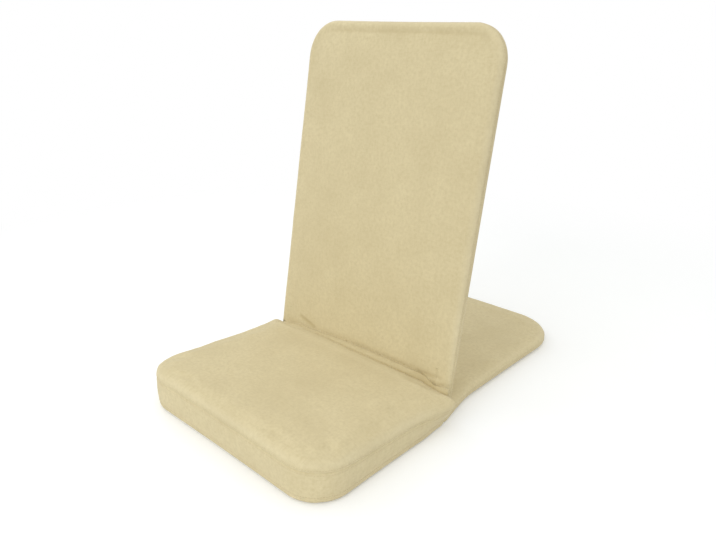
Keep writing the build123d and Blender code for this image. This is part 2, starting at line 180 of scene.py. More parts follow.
def ripple(points: Array, wavelength: float, seed: int) -> Array:
    """Smooth seeded noise from a few dozen plane waves.

    Args:
        points: Places, in metres.
        wavelength: Typical length of a wave, in metres.
        seed: Seed of the waves.

    Returns:
        Values of about -1 to 1.
    """
    draw = np.random.default_rng(seed)
    heading = draw.normal(size=(WAVES, points.shape[1]))
    heading /= np.linalg.norm(heading, axis=1, keepdims=True)
    rate = 2.0 * math.pi / wavelength * draw.uniform(*WAVE_RATES, size=(WAVES, 1))
    phase = draw.uniform(0.0, 2.0 * math.pi, size=WAVES)
    return np.cos(points @ (heading * rate).T + phase).sum(axis=1) / WAVE_SUM


def rim_seam(points: Array, above: Array, side: Array, seed: int) -> Array:
    """Lift of the cloth along a rim's seam: pinched in, with small puckers beside it.

    Args:
        points: Places on the cloth.
        above: Their height above the seam.
        side: Share of the rim's side at them.
        seed: Seed of the puckers.

    Returns:
        The lift at each place, in metres.
    """
    pinch = -PINCH_DEPTH * bell(above, PINCH_WIDTH) * side
    return pinch + PUCKER_HEIGHT * ripple(points[:, :2], PUCKER_LENGTH, seed) * bell(above, PUCKER_REACH) * side


def seam_darkening(above: Array, side: Array) -> Array:
    """Darker colour along a rim's seam."""
    return SEAM_DARKENING * side * bell(above, DARKENING_WIDTH)


def lean_out(local: Array) -> Array:
    """Turns places in the back's axes into chair places.

    Args:
        local: Columns across, up the lean, and out of the front face.

    Returns:
        Columns X, Y and Z.
    """
    across, up, out = local[:, 0], local[:, 1], local[:, 2]
    y = PIVOT_Y + up * math.sin(LEAN) - out * math.cos(LEAN)
    z = PIVOT_Z + up * math.cos(LEAN) + out * math.sin(LEAN)
    return np.stack([across, y, z], axis=1)


def lean_in(points: Array) -> Array:
    """Turns chair places into places in the back's axes.

    Args:
        points: Columns X, Y and Z.

    Returns:
        Columns across, up the lean, and out of the front face.
    """
    y, z = points[:, 1] - PIVOT_Y, points[:, 2] - PIVOT_Z
    up = y * math.sin(LEAN) + z * math.cos(LEAN)
    out = -y * math.cos(LEAN) + z * math.sin(LEAN)
    return np.stack([points[:, 0], up, out], axis=1)


def wall_y(z: Array) -> Array:
    """Y of the plane between the seat and the back at a height."""
    return PIVOT_Y - (WALL_OFFSET - math.sin(LEAN) * (z - PIVOT_Z)) / math.cos(LEAN)


def soft_min(value: Array, limit: Array) -> Array:
    """Values kept under a limit, with a rounded shoulder instead of a flat cut.

    Args:
        value: Values to limit.
        limit: The limit at each of them.

    Returns:
        The limited values.
    """
    return value - SHOULDER * np.logaddexp(0.0, (value - limit) / SHOULDER)


def face_limit(up: Array) -> Array:
    """How far out the back's front face may reach up its lean, so that it folds down clear of the seat."""
    return FACE_LOW + FACE_RISE * smooth(up, 0.03, 0.26)


def folded_ceiling(y: Array) -> Array:
    """Height of the folded back's face over the seat, less a small gap."""
    up = PIVOT_Y - y
    return PIVOT_Z + up * math.tan(FOLDED_SLOPE) - (face_limit(up) + FOLD_GAP) / math.cos(FOLDED_SLOPE)


def rim_distance(place: Array, half_width: float, end: float, corner: float) -> Array:
    """Distance in from a panel's sides and its rounded end.

    Args:
        place: Columns across and along the panel.
        half_width: Half the panel's width.
        end: Where the rounded end lies.
        corner: Radius of the end's corners.

    Returns:
        The distance at each place, less than 0 outside.
    """
    side = half_width - np.abs(place[:, 0])
    far = end - place[:, 1]
    reach_x = np.maximum(np.abs(place[:, 0]) - (half_width - corner), 0)
    reach_y = np.maximum(place[:, 1] - (end - corner), 0)
    return np.where((reach_x > 0) & (reach_y > 0), corner - np.hypot(reach_x, reach_y), np.minimum(side, far))


def resample(path: Array, count: int) -> Array:
    """Evenly spaced places along a path, without its last one.

    Args:
        path: Places along the path, in any spacing.
        count: How many steps to divide it into.

    Returns:
        The first place of each step.
    """
    steps = np.linalg.norm(np.diff(path, axis=0), axis=1)
    run = np.concatenate([[0.0], np.cumsum(steps)])
    at = np.linspace(0.0, run[-1], count + 1)[:-1]
    return np.stack([np.interp(at, run, path[:, axis]) for axis in range(path.shape[1])], axis=1)


@dataclass
class Outline:
    """A sewn panel's rounded outline, its sides pulled in between the corners."""

    half_width: float
    y_low: float
    y_high: float
    radius_low: float
    radius_high: float
    draw_side: float
    draw_low: float
    draw_high: float
    across: int
    along: int
    tightest: float = 0.0015

    def at(self, inset: float) -> Array:
        """The outline taken in by an inset.

        Args:
            inset: How far in, in metres.

        Returns:
            Places anticlockwise from the middle of the low left corner.
        """
        half = self.half_width - inset
        low, high = self.y_low + inset, self.y_high - inset
        r_low = max(self.radius_low - inset, self.tightest)
        r_high = max(self.radius_high - inset, self.tightest)
        corners = [
            (r_low - half, low + r_low, r_low, 180),
            (half - r_low, low + r_low, r_low, 270),
            (half - r_high, high - r_high, r_high, 0),
            (r_high - half, high - r_high, r_high, 90),
        ]

        def bend(corner: tuple, start: float, end: float) -> Array:
            """Places on part of a corner's arc.

            Args:
                corner: The arc's centre, radius and starting angle.
                start: First angle past that, in degrees.
                end: Last angle past that, in degrees.

            Returns:
                Columns X and Y.
            """
            x, y, radius, base = corner
            angle = np.radians(base + np.linspace(start, end, 10))
            return np.stack([x + radius * np.cos(angle), y + radius * np.sin(angle)], axis=1)

        sides = []
        for index, count in enumerate((self.across, self.along, self.across, self.along)):
            side = np.concatenate([bend(corners[index], 45, 90), bend(corners[(index + 1) % 4], 0, 45)])
            sides.append(resample(side, count))
        points = np.concatenate(sides)
        across = points[:, 0] / half
        along = (points[:, 1] - (low + high) / 2) / ((high - low) / 2)
        pull = np.where(along < 0, self.draw_low, self.draw_high) * (1 - across**2) * along**6
        points[:, 0] -= np.sign(across) * self.draw_side * (1 - along**2) * across**6
        points[:, 1] -= np.sign(along) * pull
        return points

    def net(self, ring: Array) -> Array:
        """A Coons net that fills a ring of this outline.

        Args:
            ring: Places of the ring, as at() gives them.

        Returns:
            An array of (across + 1, along + 1, 2) places.
        """
        a, b = self.across, self.along
        closed = np.concatenate([ring, ring[:1]])
        low, right = closed[: a + 1], closed[a : a + b + 1]
        high, left = closed[a + b : 2 * a + b + 1][::-1], closed[2 * a + b :][::-1]
        u = np.linspace(0, 1, a + 1)[:, None, None]
        v = np.linspace(0, 1, b + 1)[None, :, None]
        edges = (1 - v) * low[:, None] + v * high[:, None] + (1 - u) * left[None] + u * right[None]
        corners = (1 - u) * (1 - v) * low[0] + u * (1 - v) * low[-1] + (1 - u) * v * high[0] + u * v * high[-1]
        return edges - corners

    def boundary(self) -> Array:
        """Numbers the net's boundary by the ring.

        Returns:
            Index in the ring of each boundary place of the net, or -1 inside it.
        """
        a, b = self.across, self.along
        index = np.full((a + 1, b + 1), -1, dtype=int)
        index[:, 0] = np.arange(a + 1)
        index[a, :] = a + np.arange(b + 1)
        index[:, b] = a + b + np.arange(a + 1)[::-1]
        index[0, 1:] = (2 * a + b + np.arange(b + 1)[::-1])[1:] % (2 * (a + b))
        return index


@dataclass
class Ring:
    """One row of places round a boxed form, below the row before it."""

    inward: float
    level: Level
    panel: Panel
    sewn: bool = False


@dataclass
class BoxedForm:
    """A closed skin: two nets joined by rows round the outline."""

    outline: Outline
    edge: float
    rings: list[Ring]
    top: Level
    bottom: Level
    edge_share: Level

    def skin(self) -> tuple[Array, list, list, dict]:
        """Builds the skin.

        Returns:
            Places, faces, the panel of each face, and each panel's flat cloth places.
        """
        outer, inner = self.outline.at(0.0), self.outline.at(self.edge)
        share = self.edge_share(outer)[:, None]
        count = len(outer)
        rows = []
        for ring in self.rings:
            place = outer + (inner - outer) * ring.inward * np.where(ring.inward > 0, share, 1.0)
            rows.append(np.column_stack([place, ring.level(place)]))
        nets = [self.outline.net(rows[0][:, :2]), self.outline.net(rows[-1][:, :2])]
        boundary = self.outline.boundary()
        inside = np.argwhere(boundary < 0)
        points = list(rows)
        for net, level in zip(nets, (self.top, self.bottom)):
            place = net[inside[:, 0], inside[:, 1]]
            points.append(np.column_stack([place, level(place)]))
        points = np.concatenate(points)

        faces, panels = [], []
        for end, panel in ((0, Panel.TOP), (1, Panel.BOTTOM)):
            index = boundary + end * (len(rows) - 1) * count
            index[inside[:, 0], inside[:, 1]] = len(rows) * count + end * len(inside) + np.arange(len(inside))
            for i in range(self.outline.across):
                for j in range(self.outline.along):
                    face = (index[i, j], index[i + 1, j], index[i + 1, j + 1], index[i, j + 1])
                    faces.append(face if end == 0 else face[::-1])
                    panels.append(panel)
        for row in range(1, len(rows)):
            for a in range(count):
                b = (a + 1) % count
                low, high = row * count, (row - 1) * count
                faces.append((low + a, low + b, high + b, high + a))
                panels.append(self.rings[row].panel)
        faces = [tuple(int(corner) for corner in face) for face in faces]
        return points, faces, panels, self.cloth(points, rows)

    def cloth(self, points: Array, rows: list) -> dict:
        """Flat places on the cloth, for the weave.

        Args:
            points: Every place of the skin.
            rows: The rows round the outline.

        Returns:
            For each panel, a (N, 2) array of metres along the cloth.
        """
        count = len(rows[0])
        outward = self.outline.at(0.0) - self.outline.at(self.edge)
        outward /= np.linalg.norm(outward, axis=1, keepdims=True)
        flats = {panel: points[:, :2].copy() for panel in (Panel.TOP, Panel.BOTTOM)}
        for panel, order in ((Panel.TOP, range(1, len(rows))), (Panel.BOTTOM, range(len(rows) - 2, -1, -1))):
            step = -1 if panel is Panel.TOP else 1
            for row in order:
                run = np.linalg.norm(rows[row] - rows[row + step], axis=1)[:, None]
                start = (row + step) * count
                flats[panel][row * count : (row + 1) * count] = flats[panel][start : start + count] + outward * run
        around = np.concatenate([[0.0], np.cumsum(np.linalg.norm(np.diff(rows[0][:, :2], axis=0), axis=1))])
        band = np.zeros((len(points), 2))
        depth = np.zeros(count)
        for row, places in enumerate(rows):
            if row:
                depth = depth + np.linalg.norm(places - rows[row - 1], axis=1)
            band[row * count : (row + 1) * count] = np.column_stack([around, depth])
        flats[Panel.BAND] = band
        return flats


def flat_level(height: float) -> Level:
    """A level at one height all over."""
    return lambda place: np.full(len(place), height)


def roll_over(edge: float, level: RolledLevel, angles: tuple = QUARTER_TURN) -> list[Ring]:
    """Rows round a top edge that rolls over its filling.

    Args:
        edge: Radius of the roll.
        level: Height at places, for a drop below the top.
        angles: Turn of each row, in degrees.

    Returns:
        The rows, from the top down.
    """
    rings = []
    for turn in map(math.radians, angles):
        drop = edge * (1 - math.cos(turn))
        rings.append(Ring(1 - math.sin(turn), lambda place, drop=drop: level(place, drop), Panel.TOP))
    return rings


def roll_under(edge: float, level: RolledLevel, angles: tuple = QUARTER_TURN, reach: float = 1.0) -> list[Ring]:
    """Rows round a bottom edge that rolls under its filling.

    Args:
        edge: Radius of the roll.
        level: Height at places, for a rise above the bottom.
        angles: Turn of each row, in degrees.
        reach: How far in the last row lies, as a share of the form's edge.

    Returns:
        The rows, from the top down.
    """
    rings = []
    for turn in map(math.radians, angles):
        rise = edge * (1 - math.sin(turn))
        rings.append(Ring(reach * (1 - math.cos(turn)), lambda place, rise=rise: level(place, rise), Panel.BOTTOM))
    return rings


def seam_rows(rows: tuple, level: Callable[[float], Level]) -> list[Ring]:
    """Rows along a seam, of which the one that is taken in is sewn.

    Args:
        rows: Offset, share inward and panel of each row.
        level: Gives the level for an offset.

    Returns:
        The rows.
    """
    return [Ring(inward, level(offset), panel, inward > 0) for offset, inward, panel in rows]


def make_piece(name: str, points: Array, faces: list) -> bpy.types.Object:
    """Makes a smooth mesh object at the origin.

    Args:
        name: Name of the piece.
        points: Places, in metres.
        faces: Corner indices of each face.

    Returns:
        The linked object.
    """
    mesh = bpy.data.meshes.new(name)
    mesh.from_pydata(points.tolist(), [], faces)
    mesh.polygons.foreach_set("use_smooth", [True] * len(mesh.polygons))
    mesh.update()
    piece = bpy.data.objects.new(name, mesh)
    bpy.context.scene.collection.objects.link(piece)
    return piece


def close_tube(rows: list) -> tuple[Array, list]:
    """Joins rows of places into a tube with closed ends.

    Args:
        rows: Arrays of the same number of places.

    Returns:
        All places, and the faces.
    """
    count = len(rows[0])
    points = np.concatenate(list(rows) + [rows[0].mean(axis=0)[None], rows[-1].mean(axis=0)[None]])
    faces = []
    for a in range(count):
        b = (a + 1) % count
        for row in range(len(rows) - 1):
            here, there = row * count, (row + 1) * count
            faces.append((here + a, here + b, there + b, there + a))
        faces.append((b, a, len(points) - 2))
        faces.append((len(rows) * count - count + a, len(rows) * count - count + b, len(points) - 1))
    return points, faces


def lay_cloth(piece: bpy.types.Object, panels: list, flats: dict, count: int) -> None:
    """Writes the cloth UV map of a boxed form.

    Args:
        piece: The piece, with its first mesh.
        panels: Panel of each face.
        flats: Flat places of each panel.
        count: Places in one row, where the band closes on itself.
    """
    mesh = piece.data
    layer = mesh.uv_layers.new(name=CLOTH_UV)
    girth = flats[Panel.BAND][:count, 0].max() + CLOSING_STEP
    for face, panel in zip(mesh.polygons, panels):
        flat = flats[panel]
        corners = [flat[mesh.loops[loop].vertex_index] for loop in face.loop_indices]
        wraps = panel is Panel.BAND and max(c[0] for c in corners) - min(c[0] for c in corners) > girth / 2
        for loop, corner in zip(face.loop_indices, corners):
            across = corner[0] + (girth if wraps and corner[0] < girth / 2 else 0.0)
            layer.data[loop].uv = (across, corner[1])


def read_points(mesh: bpy.types.Mesh, source: str = "co") -> Array:
    """Reads a mesh's places or normals.

    Args:
        mesh: The mesh.
        source: "co" for places or "normal" for normals.

    Returns:
        A (N, 3) array.
    """
    flat = np.empty(len(mesh.vertices) * 3, dtype=np.float32)
    mesh.vertices.foreach_get(source, flat)
    return flat.reshape(-1, 3).astype(float)


def write_points(mesh: bpy.types.Mesh, points: Array) -> None:
    """Writes a mesh's places."""
    mesh.vertices.foreach_set("co", points.astype(np.float32).ravel())
    mesh.update()


def search_tree(piece: bpy.types.Object) -> BVHTree:
    """A search tree of a piece's mesh."""
    mesh = piece.data
    return BVHTree.FromPolygons([v.co for v in mesh.vertices], [tuple(p.vertices) for p in mesh.polygons])


def write_mask(piece: bpy.types.Object, name: str, values: Array) -> None:
    """Writes a mask from 0 to 1 on a piece's places, for its material."""
    mask = piece.data.attributes.get(name) or piece.data.attributes.new(name, "FLOAT", "POINT")
    mask.data.foreach_set("value", np.clip(values, 0, 1).astype(np.float32))


def dress(piece: bpy.types.Object, material: bpy.types.Material) -> None:
    """Gives a piece its one material."""
    piece.data.materials.clear()
    piece.data.materials.append(material)


def bake_modifiers(piece: bpy.types.Object) -> None:
    """Turns a piece's modifiers into plain mesh.

    Args:
        piece: The piece, which keeps no modifier.
    """
    depsgraph = bpy.context.evaluated_depsgraph_get()
    depsgraph.update()
    mesh = bpy.data.meshes.new_from_object(piece.evaluated_get(depsgraph))
    piece.modifiers.clear()
    old = piece.data
    piece.data = mesh
    bpy.data.meshes.remove(old)
    mesh.name = piece.name


def subdivide(piece: bpy.types.Object) -> None:
    """Applies one subdivision to a piece.

    Args:
        piece: The piece.
    """
    step = piece.modifiers.new("smooth", "SUBSURF")
    step.levels = step.render_levels = 1
    bake_modifiers(piece)


@dataclass
class Stuffing:
    """How far a cover swells over its filling in the cloth simulation."""

    pressure: float
    cap: float
    sideways: float = 0.25
    stiffness: float = 15.0
    frames: int = 20
    shrink: float = 0.15
    quality: int = 4
    bending: float = 1.0

    def swell(self, piece: bpy.types.Object, sewn: Array) -> None:
        """Runs Blender's cloth on a piece and keeps a capped part of the movement, little of it where it is inward.

        Args:
            piece: The piece, whose mesh is changed.
            sewn: Indices of the places that the seams hold.
        """
        before = read_points(piece.data)
        group = piece.vertex_groups.new(name="sewn")
        group.add([int(index) for index in sewn], 1.0, "REPLACE")
        cloth = piece.modifiers.new("cloth", "CLOTH")
        settings = cloth.settings
        settings.quality = self.quality
        settings.tension_stiffness = self.stiffness
        settings.compression_stiffness = self.stiffness
        settings.bending_stiffness = self.bending
        settings.use_pressure = True
        settings.uniform_pressure_force = self.pressure
        settings.vertex_group_mass = "sewn"
        settings.effector_weights.gravity = 0.0
        cloth.collision_settings.use_collision = False
        cloth.point_cache.frame_start = 1
        cloth.point_cache.frame_end = self.frames
        scene = bpy.context.scene
        for moment in range(1, self.frames + 1):
            scene.frame_set(moment)
        depsgraph = bpy.context.evaluated_depsgraph_get()
        puffed = piece.evaluated_get(depsgraph)
        after = read_points(puffed.to_mesh())
        puffed.to_mesh_clear()
        piece.modifiers.remove(cloth)
        piece.vertex_groups.clear()
        scene.frame_set(1)
        move = (after - before) * [self.sideways, self.sideways, 1.0]
        inward = np.sum(move * read_points(piece.data, "normal"), axis=1) < 0
        move[inward] *= self.shrink
        length = np.linalg.norm(move, axis=1, keepdims=True)
        kept = self.cap * np.tanh(length / self.cap) / np.maximum(length, 1e-9)
        write_points(piece.data, before + move * kept)
        log.info("%s swelled by up to %.1f mm before the cap", piece.name, float(length.max()) * 1000)


@dataclass
class Cushion:
    """A boxed form to be stuffed: how it is bent to its place, and what holds it clear of its neighbours."""

    name: str
    form: BoxedForm
    stuffing: Stuffing
    bend: Reshape
    settle: Reshape

    def stuff(self, held: Callable[[Array], Array] | None = None) -> bpy.types.Object:
        """Makes the piece, swells it over its filling and smooths it.

        Args:
            held: Picks more places that the filling can't move, besides the seams.

        Returns:
            The piece.
        """
        points, faces, panels, flats = self.form.skin()
        points = self.bend(points)
        piece = make_piece(self.name, points, faces)
        count = len(self.form.outline.at(0.0))
        lay_cloth(piece, panels, flats, count)
        sewn = [np.arange(count) + row * count for row, ring in enumerate(self.form.rings) if ring.sewn]
        if held:
            sewn.append(np.flatnonzero(held(points)))
        self.stuffing.swell(piece, np.concatenate(sewn))
        write_points(piece.data, self.settle(read_points(piece.data)))
        subdivide(piece)
        return piece


class NodeSheet:
    """Adds and joins the nodes of one tree."""

    def __init__(self, tree: bpy.types.NodeTree) -> None:
        """Keeps the tree and empties it."""
        self.tree = tree
        tree.nodes.clear()

    def feed(self, socket: bpy.types.NodeSocket, value: object) -> None:
        """Joins a node or socket to an input, or sets its value.

        Args:
            socket: The input.
            value: A node, a socket or a plain value.
        """
        if isinstance(value, bpy.types.Node):
            value = value.outputs[0]
        if isinstance(value, bpy.types.NodeSocket):
            self.tree.links.new(value, socket)
        else:
            socket.default_value = value

    def add(self, kind: str, inputs: dict | None = None, **settings: object) -> bpy.types.Node:
        """Adds a node.

        Args:
            kind: Blender's type name of the node.
            inputs: Values or sockets by input name or number.
            settings: Properties of the node.

        Returns:
            The new node.
        """
        node = self.tree.nodes.new(kind)
        for name, value in settings.items():
            setattr(node, name, value)
        for key, value in (inputs or {}).items():
            self.feed(node.inputs[key], value)
        return node

    def math(self, operation: str, first: object, second: object = 0.0) -> bpy.types.NodeSocket:
        """A Math node's result."""
        return self.add("ShaderNodeMath", {0: first, 1: second}, operation=operation).outputs[0]

    def mix(self, share: object, first: object, second: object, how: str = "MIX") -> bpy.types.NodeSocket:
        """A colour mix's result."""
        node = self.add("ShaderNodeMix", {0: share, 6: first, 7: second}, data_type="RGBA", blend_type=how)
        return node.outputs[2]

    def noise(self, place: object, scale: object, detail: float = 2.0, rough: float = 0.5) -> bpy.types.NodeSocket:
        """A noise texture's value."""
        inputs = {"Vector": place, "Scale": scale, "Detail": detail, "Roughness": rough}
        return self.add("ShaderNodeTexNoise", inputs).outputs[0]

    def spread(self, value: object, low: float, high: float, to_low: float, to_high: float) -> bpy.types.NodeSocket:
        """A value mapped from one range to another."""
        inputs = {"Value": value, 1: low, 2: high, 3: to_low, 4: to_high}
        return self.add("ShaderNodeMapRange", inputs).outputs[0]

    def vary(self, noise: object, low: float, high: float) -> bpy.types.NodeSocket:
        """A noise texture's usual range mapped to a range."""
        return self.spread(noise, NOISE_LOW, NOISE_HIGH, low, high)

    def place(self) -> bpy.types.NodeSocket:
        """The place on the object, in metres."""
        return self.add("ShaderNodeTexCoord").outputs["Object"]

    def emboss(self, shader: bpy.types.Node, height: object, distance: float, strength: float) -> None:
        """Joins a height to a shader's normal."""
        bump = self.add("ShaderNodeBump", {"Height": height, "Distance": distance, "Strength": strength})
        self.feed(shader.inputs["Normal"], bump)

    def seen(self) -> bpy.types.NodeSocket:
        """Tells the camera's rays and what gloss and glass show of the surroundings from light.

        Returns:
            1 for such rays, and 0 for light.
        """
        path = self.add("ShaderNodeLightPath")
        seen = self.math("ADD", path.outputs["Is Camera Ray"], path.outputs["Is Glossy Ray"])
        return self.math("ADD", seen, path.outputs["Is Transmission Ray"])


def open_group(name: str, inputs: dict, outputs: dict, kind: str = "ShaderNodeTree") -> tuple:
    """Starts a node group with named sockets.

    Args:
        name: Name of the group.
        inputs: Socket type and default by name.
        outputs: Socket type by name.
        kind: Type of the tree.

    Returns:
        The group, its sheet, and its input and output nodes.
    """
    group = bpy.data.node_groups.new(name, kind)
    for label, (socket_type, default) in inputs.items():
        socket = group.interface.new_socket(name=label, in_out="INPUT", socket_type=socket_type)
        if default is not None:
            socket.default_value = default
    for label, socket_type in outputs.items():
        group.interface.new_socket(name=label, in_out="OUTPUT", socket_type=socket_type)
    sheet = NodeSheet(group)
    return group, sheet, sheet.add("NodeGroupInput"), sheet.add("NodeGroupOutput")


FLOAT = "NodeSocketFloat"
VECTOR = "NodeSocketVector"


def weave_group() -> bpy.types.NodeTree:
    """Plain weave with slubs.

    Returns:
        The group, which gives the weave's height and a mask of uneven yarns.
    """
    group, sheet, start, end = open_group(
        "plain_weave",
        {"Cloth": (VECTOR, None), "Pitch": (FLOAT, 0.001), "Slub Length": (FLOAT, 0.02)},
        {"Height": FLOAT, "Yarn": FLOAT},
    )
    parts = sheet.add("ShaderNodeSeparateXYZ", {0: start.outputs["Cloth"]})
    rate = sheet.math("DIVIDE", math.pi, start.outputs["Pitch"])
    waves = [sheet.math("SINE", sheet.math("MULTIPLY", parts.outputs[axis], rate)) for axis in (0, 1)]
    crowns = sheet.math("ABSOLUTE", sheet.math("MULTIPLY", waves[0], waves[1]))
    fine = sheet.math("DIVIDE", 1.0, start.outputs["Pitch"])
    long = sheet.math("DIVIDE", 1.0, start.outputs["Slub Length"])
    yarns = []
    for first, second in ((fine, long), (long, fine)):
        scale = sheet.add("ShaderNodeCombineXYZ", {0: first, 1: second, 2: 0.0})
        place = sheet.add("ShaderNodeVectorMath", {0: start.outputs["Cloth"], 1: scale}, operation="MULTIPLY")
        yarns.append(sheet.noise(place, 0.8, 2.0, 0.6))
    yarn = sheet.math("MULTIPLY", sheet.math("ADD", yarns[0], yarns[1]), 0.5)
    height = sheet.math("ADD", sheet.math("MULTIPLY", crowns, 0.6), sheet.math("MULTIPLY", yarn, 0.8))
    sheet.feed(end.inputs["Height"], height)
    sheet.feed(end.inputs["Yarn"], yarn)
    return group


def mottle_group() -> bpy.types.NodeTree:
    """Uneven colour at two sizes.

    Returns:
        The group, which gives a mask about one half for each size.
    """
    group, sheet, start, end = open_group(
        "soft_mottle",
        {"Place": (VECTOR, None), "Fine Size": (FLOAT, 0.006), "Broad Size": (FLOAT, 0.09)},
        {"Fine": FLOAT, "Broad": FLOAT},
    )
    for label, detail in (("Fine", 3.0), ("Broad", 2.0)):
        scale = sheet.math("DIVIDE", 1.0, start.outputs[f"{label} Size"])
        sheet.feed(end.inputs[label], sheet.noise(start.outputs["Place"], scale, detail, 0.55))
    return group


def grain_group() -> bpy.types.NodeTree:
    """Fine surface grain with sparse worn specks.

    Returns:
        The group, which gives the grain's height and a mask of the specks.
    """
    group, sheet, start, end = open_group(
        "fine_grain",
        {"Place": (VECTOR, None), "Size": (FLOAT, 0.0006), "Speck Size": (FLOAT, 0.004)},
        {"Height": FLOAT, "Speck": FLOAT},
    )
    fine = sheet.math("DIVIDE", 1.0, start.outputs["Size"])
    coarse = sheet.math("DIVIDE", 1.0, start.outputs["Speck Size"])
    sheet.feed(end.inputs["Height"], sheet.noise(start.outputs["Place"], fine, 2.0, 0.6))
    specks = sheet.noise(start.outputs["Place"], coarse, 3.0, 0.65)
    sheet.feed(end.inputs["Speck"], sheet.spread(specks, 0.58, 0.72, 0.0, 1.0))
    return group


class Workshop:
    """The shared shader groups, each built once."""

    weave = weave_group()
    mottle = mottle_group()
    grain = grain_group()


def principled(name: str) -> tuple[bpy.types.Material, NodeSheet, bpy.types.Node]:
    """A new material with a Principled shader joined to its output.

    Args:
        name: Name of the material.

    Returns:
        The material, its sheet and its shader node.
    """
    material = bpy.data.materials.new(name)
    material.use_nodes = True
    sheet = NodeSheet(material.node_tree)
    shader = sheet.add("ShaderNodeBsdfPrincipled")
    sheet.add("ShaderNodeOutputMaterial", {"Surface": shader})
    return material, sheet, shader


@dataclass(frozen=True)
class CanvasFinish:
    """Brushed cotton canvas."""

    name: str
    colour: tuple = (0.662, 0.572, 0.352, 1.0)
    shade: tuple = (0.545, 0.456, 0.260, 1.0)
    dark_seam_and_shade_tint: tuple = (0.43, 0.34, 0.165, 1.0)
    pale_and_highlight: tuple = (0.735, 0.652, 0.44, 1.0)
    fine: tuple = (-0.08, 0.68)
    broad: tuple = (-0.10, 0.54)
    yarn: float = 0.35
    wear_and_highlight: float = 0.25
    dark_seam_and_shade: float = 0.75
    pitch: float = 0.0011
    roughness: float = 0.88
    unevenness: float = 0.06
    sheen: float = 0.12
    sheen_roughness: float = 0.6
    specular: float = 0.25
    nap: float = 1.6
    relief: float = 0.00016

    def make(self) -> bpy.types.Material:
        """Builds the material.

        Returns:
            The material.
        """
        material, sheet, shader = principled(self.name)
        cloth = sheet.add("ShaderNodeUVMap", uv_map=CLOTH_UV)
        weave = sheet.add("ShaderNodeGroup", {"Cloth": cloth, "Pitch": self.pitch}, node_tree=Workshop.weave)
        mottle = sheet.add("ShaderNodeGroup", {"Place": sheet.place()}, node_tree=Workshop.mottle)
        colour = sheet.mix(sheet.vary(mottle.outputs["Fine"], *self.fine), self.colour, self.shade)
        colour = sheet.mix(sheet.vary(mottle.outputs["Broad"], *self.broad), colour, self.shade)
        colour = sheet.mix(sheet.vary(weave.outputs["Yarn"], 0.0, self.yarn), colour, self.pale_and_highlight)
        # The first mask lightens worn edges and paints highlight on crests; the second darkens seams and paints shade
        # in creases.
        for mask, share, tint in ((WEAR_AND_HIGHLIGHT, self.wear_and_highlight, self.pale_and_highlight), (DARK_SEAM_AND_SHADE, self.dark_seam_and_shade, self.dark_seam_and_shade_tint)):
            worn = sheet.add("ShaderNodeAttribute", attribute_name=mask)
            colour = sheet.mix(sheet.math("MULTIPLY", worn.outputs["Fac"], share), colour, tint)
        sheet.feed(shader.inputs["Base Color"], colour)
        low, high = self.roughness - self.unevenness, self.roughness + self.unevenness
        sheet.feed(shader.inputs["Roughness"], sheet.vary(mottle.outputs["Fine"], low, high))
        shader.inputs["Sheen Weight"].default_value = self.sheen
        shader.inputs["Sheen Roughness"].default_value = self.sheen_roughness
        shader.inputs["Specular IOR Level"].default_value = self.specular
        nap = sheet.math("MULTIPLY", mottle.outputs["Fine"], self.nap)
        sheet.emboss(shader, sheet.math("ADD", weave.outputs["Height"], nap), self.relief, 0.8)
        return material


@dataclass(frozen=True)
class ThreadFinish:
    """Spun sewing thread."""

    name: str
    colour: tuple = (0.63, 0.53, 0.33, 1.0)
    shade: tuple = (0.50, 0.41, 0.24, 1.0)
    roughness: tuple = (0.55, 0.75)
    strands: float = 1800.0
    relief: float = 0.0001

    def make(self) -> bpy.types.Material:
        """Builds the material.

        Returns:
            The material.
        """
        material, sheet, shader = principled(self.name)
        strand = sheet.noise(sheet.place(), self.strands, 1.0)
        sheet.feed(shader.inputs["Base Color"], sheet.mix(strand, self.colour, self.shade))
        sheet.feed(shader.inputs["Roughness"], sheet.vary(strand, *self.roughness))
        sheet.emboss(shader, strand, self.relief, 0.6)
        return material


@dataclass(frozen=True)
class HardFinish:
    """Powder coat, zinc, nylon or another hard finish with a fine grain."""

    name: str
    colour: tuple
    worn: tuple
    roughness: float
    metallic: float
    grain: float
    relief: float
    coat: float = 0.0
    surface_marks: float = 0.5
    unevenness: float = 0.08

    def make(self) -> bpy.types.Material:
        """Builds the material.

        Returns:
            The material.
        """
        material, sheet, shader = principled(self.name)
        inputs = {"Place": sheet.place(), "Size": self.grain}
        grain = sheet.add("ShaderNodeGroup", inputs, node_tree=Workshop.grain)
        speck = sheet.math("MULTIPLY", grain.outputs["Speck"], self.surface_marks)
        sheet.feed(shader.inputs["Base Color"], sheet.mix(speck, self.colour, self.worn))
        low, high = self.roughness - self.unevenness, self.roughness + self.unevenness
        sheet.feed(shader.inputs["Roughness"], sheet.vary(grain.outputs["Height"], low, high))
        shader.inputs["Metallic"].default_value = self.metallic
        shader.inputs["Coat Weight"].default_value = self.coat
        sheet.emboss(shader, grain.outputs["Height"], self.relief, 0.6)
        return material


@dataclass(frozen=True)
class TapeFinish:
    """Hook and loop tape."""

    name: str
    colour: tuple = (0.60, 0.53, 0.36, 1.0)
    shade: tuple = (0.42, 0.36, 0.23, 1.0)
    roughness: tuple = (0.7, 0.95)
    loops: float = 900.0
    relief: float = 0.0006

    def make(self) -> bpy.types.Material:
        """Builds the material.

        Returns:
            The material.
        """
        material, sheet, shader = principled(self.name)
        inputs = {"Vector": sheet.place(), "Scale": self.loops}
        loops = sheet.add("ShaderNodeTexVoronoi", inputs).outputs["Distance"]
        sheet.feed(shader.inputs["Base Color"], sheet.mix(loops, self.shade, self.colour))
        sheet.feed(shader.inputs["Roughness"], sheet.spread(loops, 0.0, 1.0, *self.roughness))
        sheet.emboss(shader, loops, self.relief, 0.8)
        return material


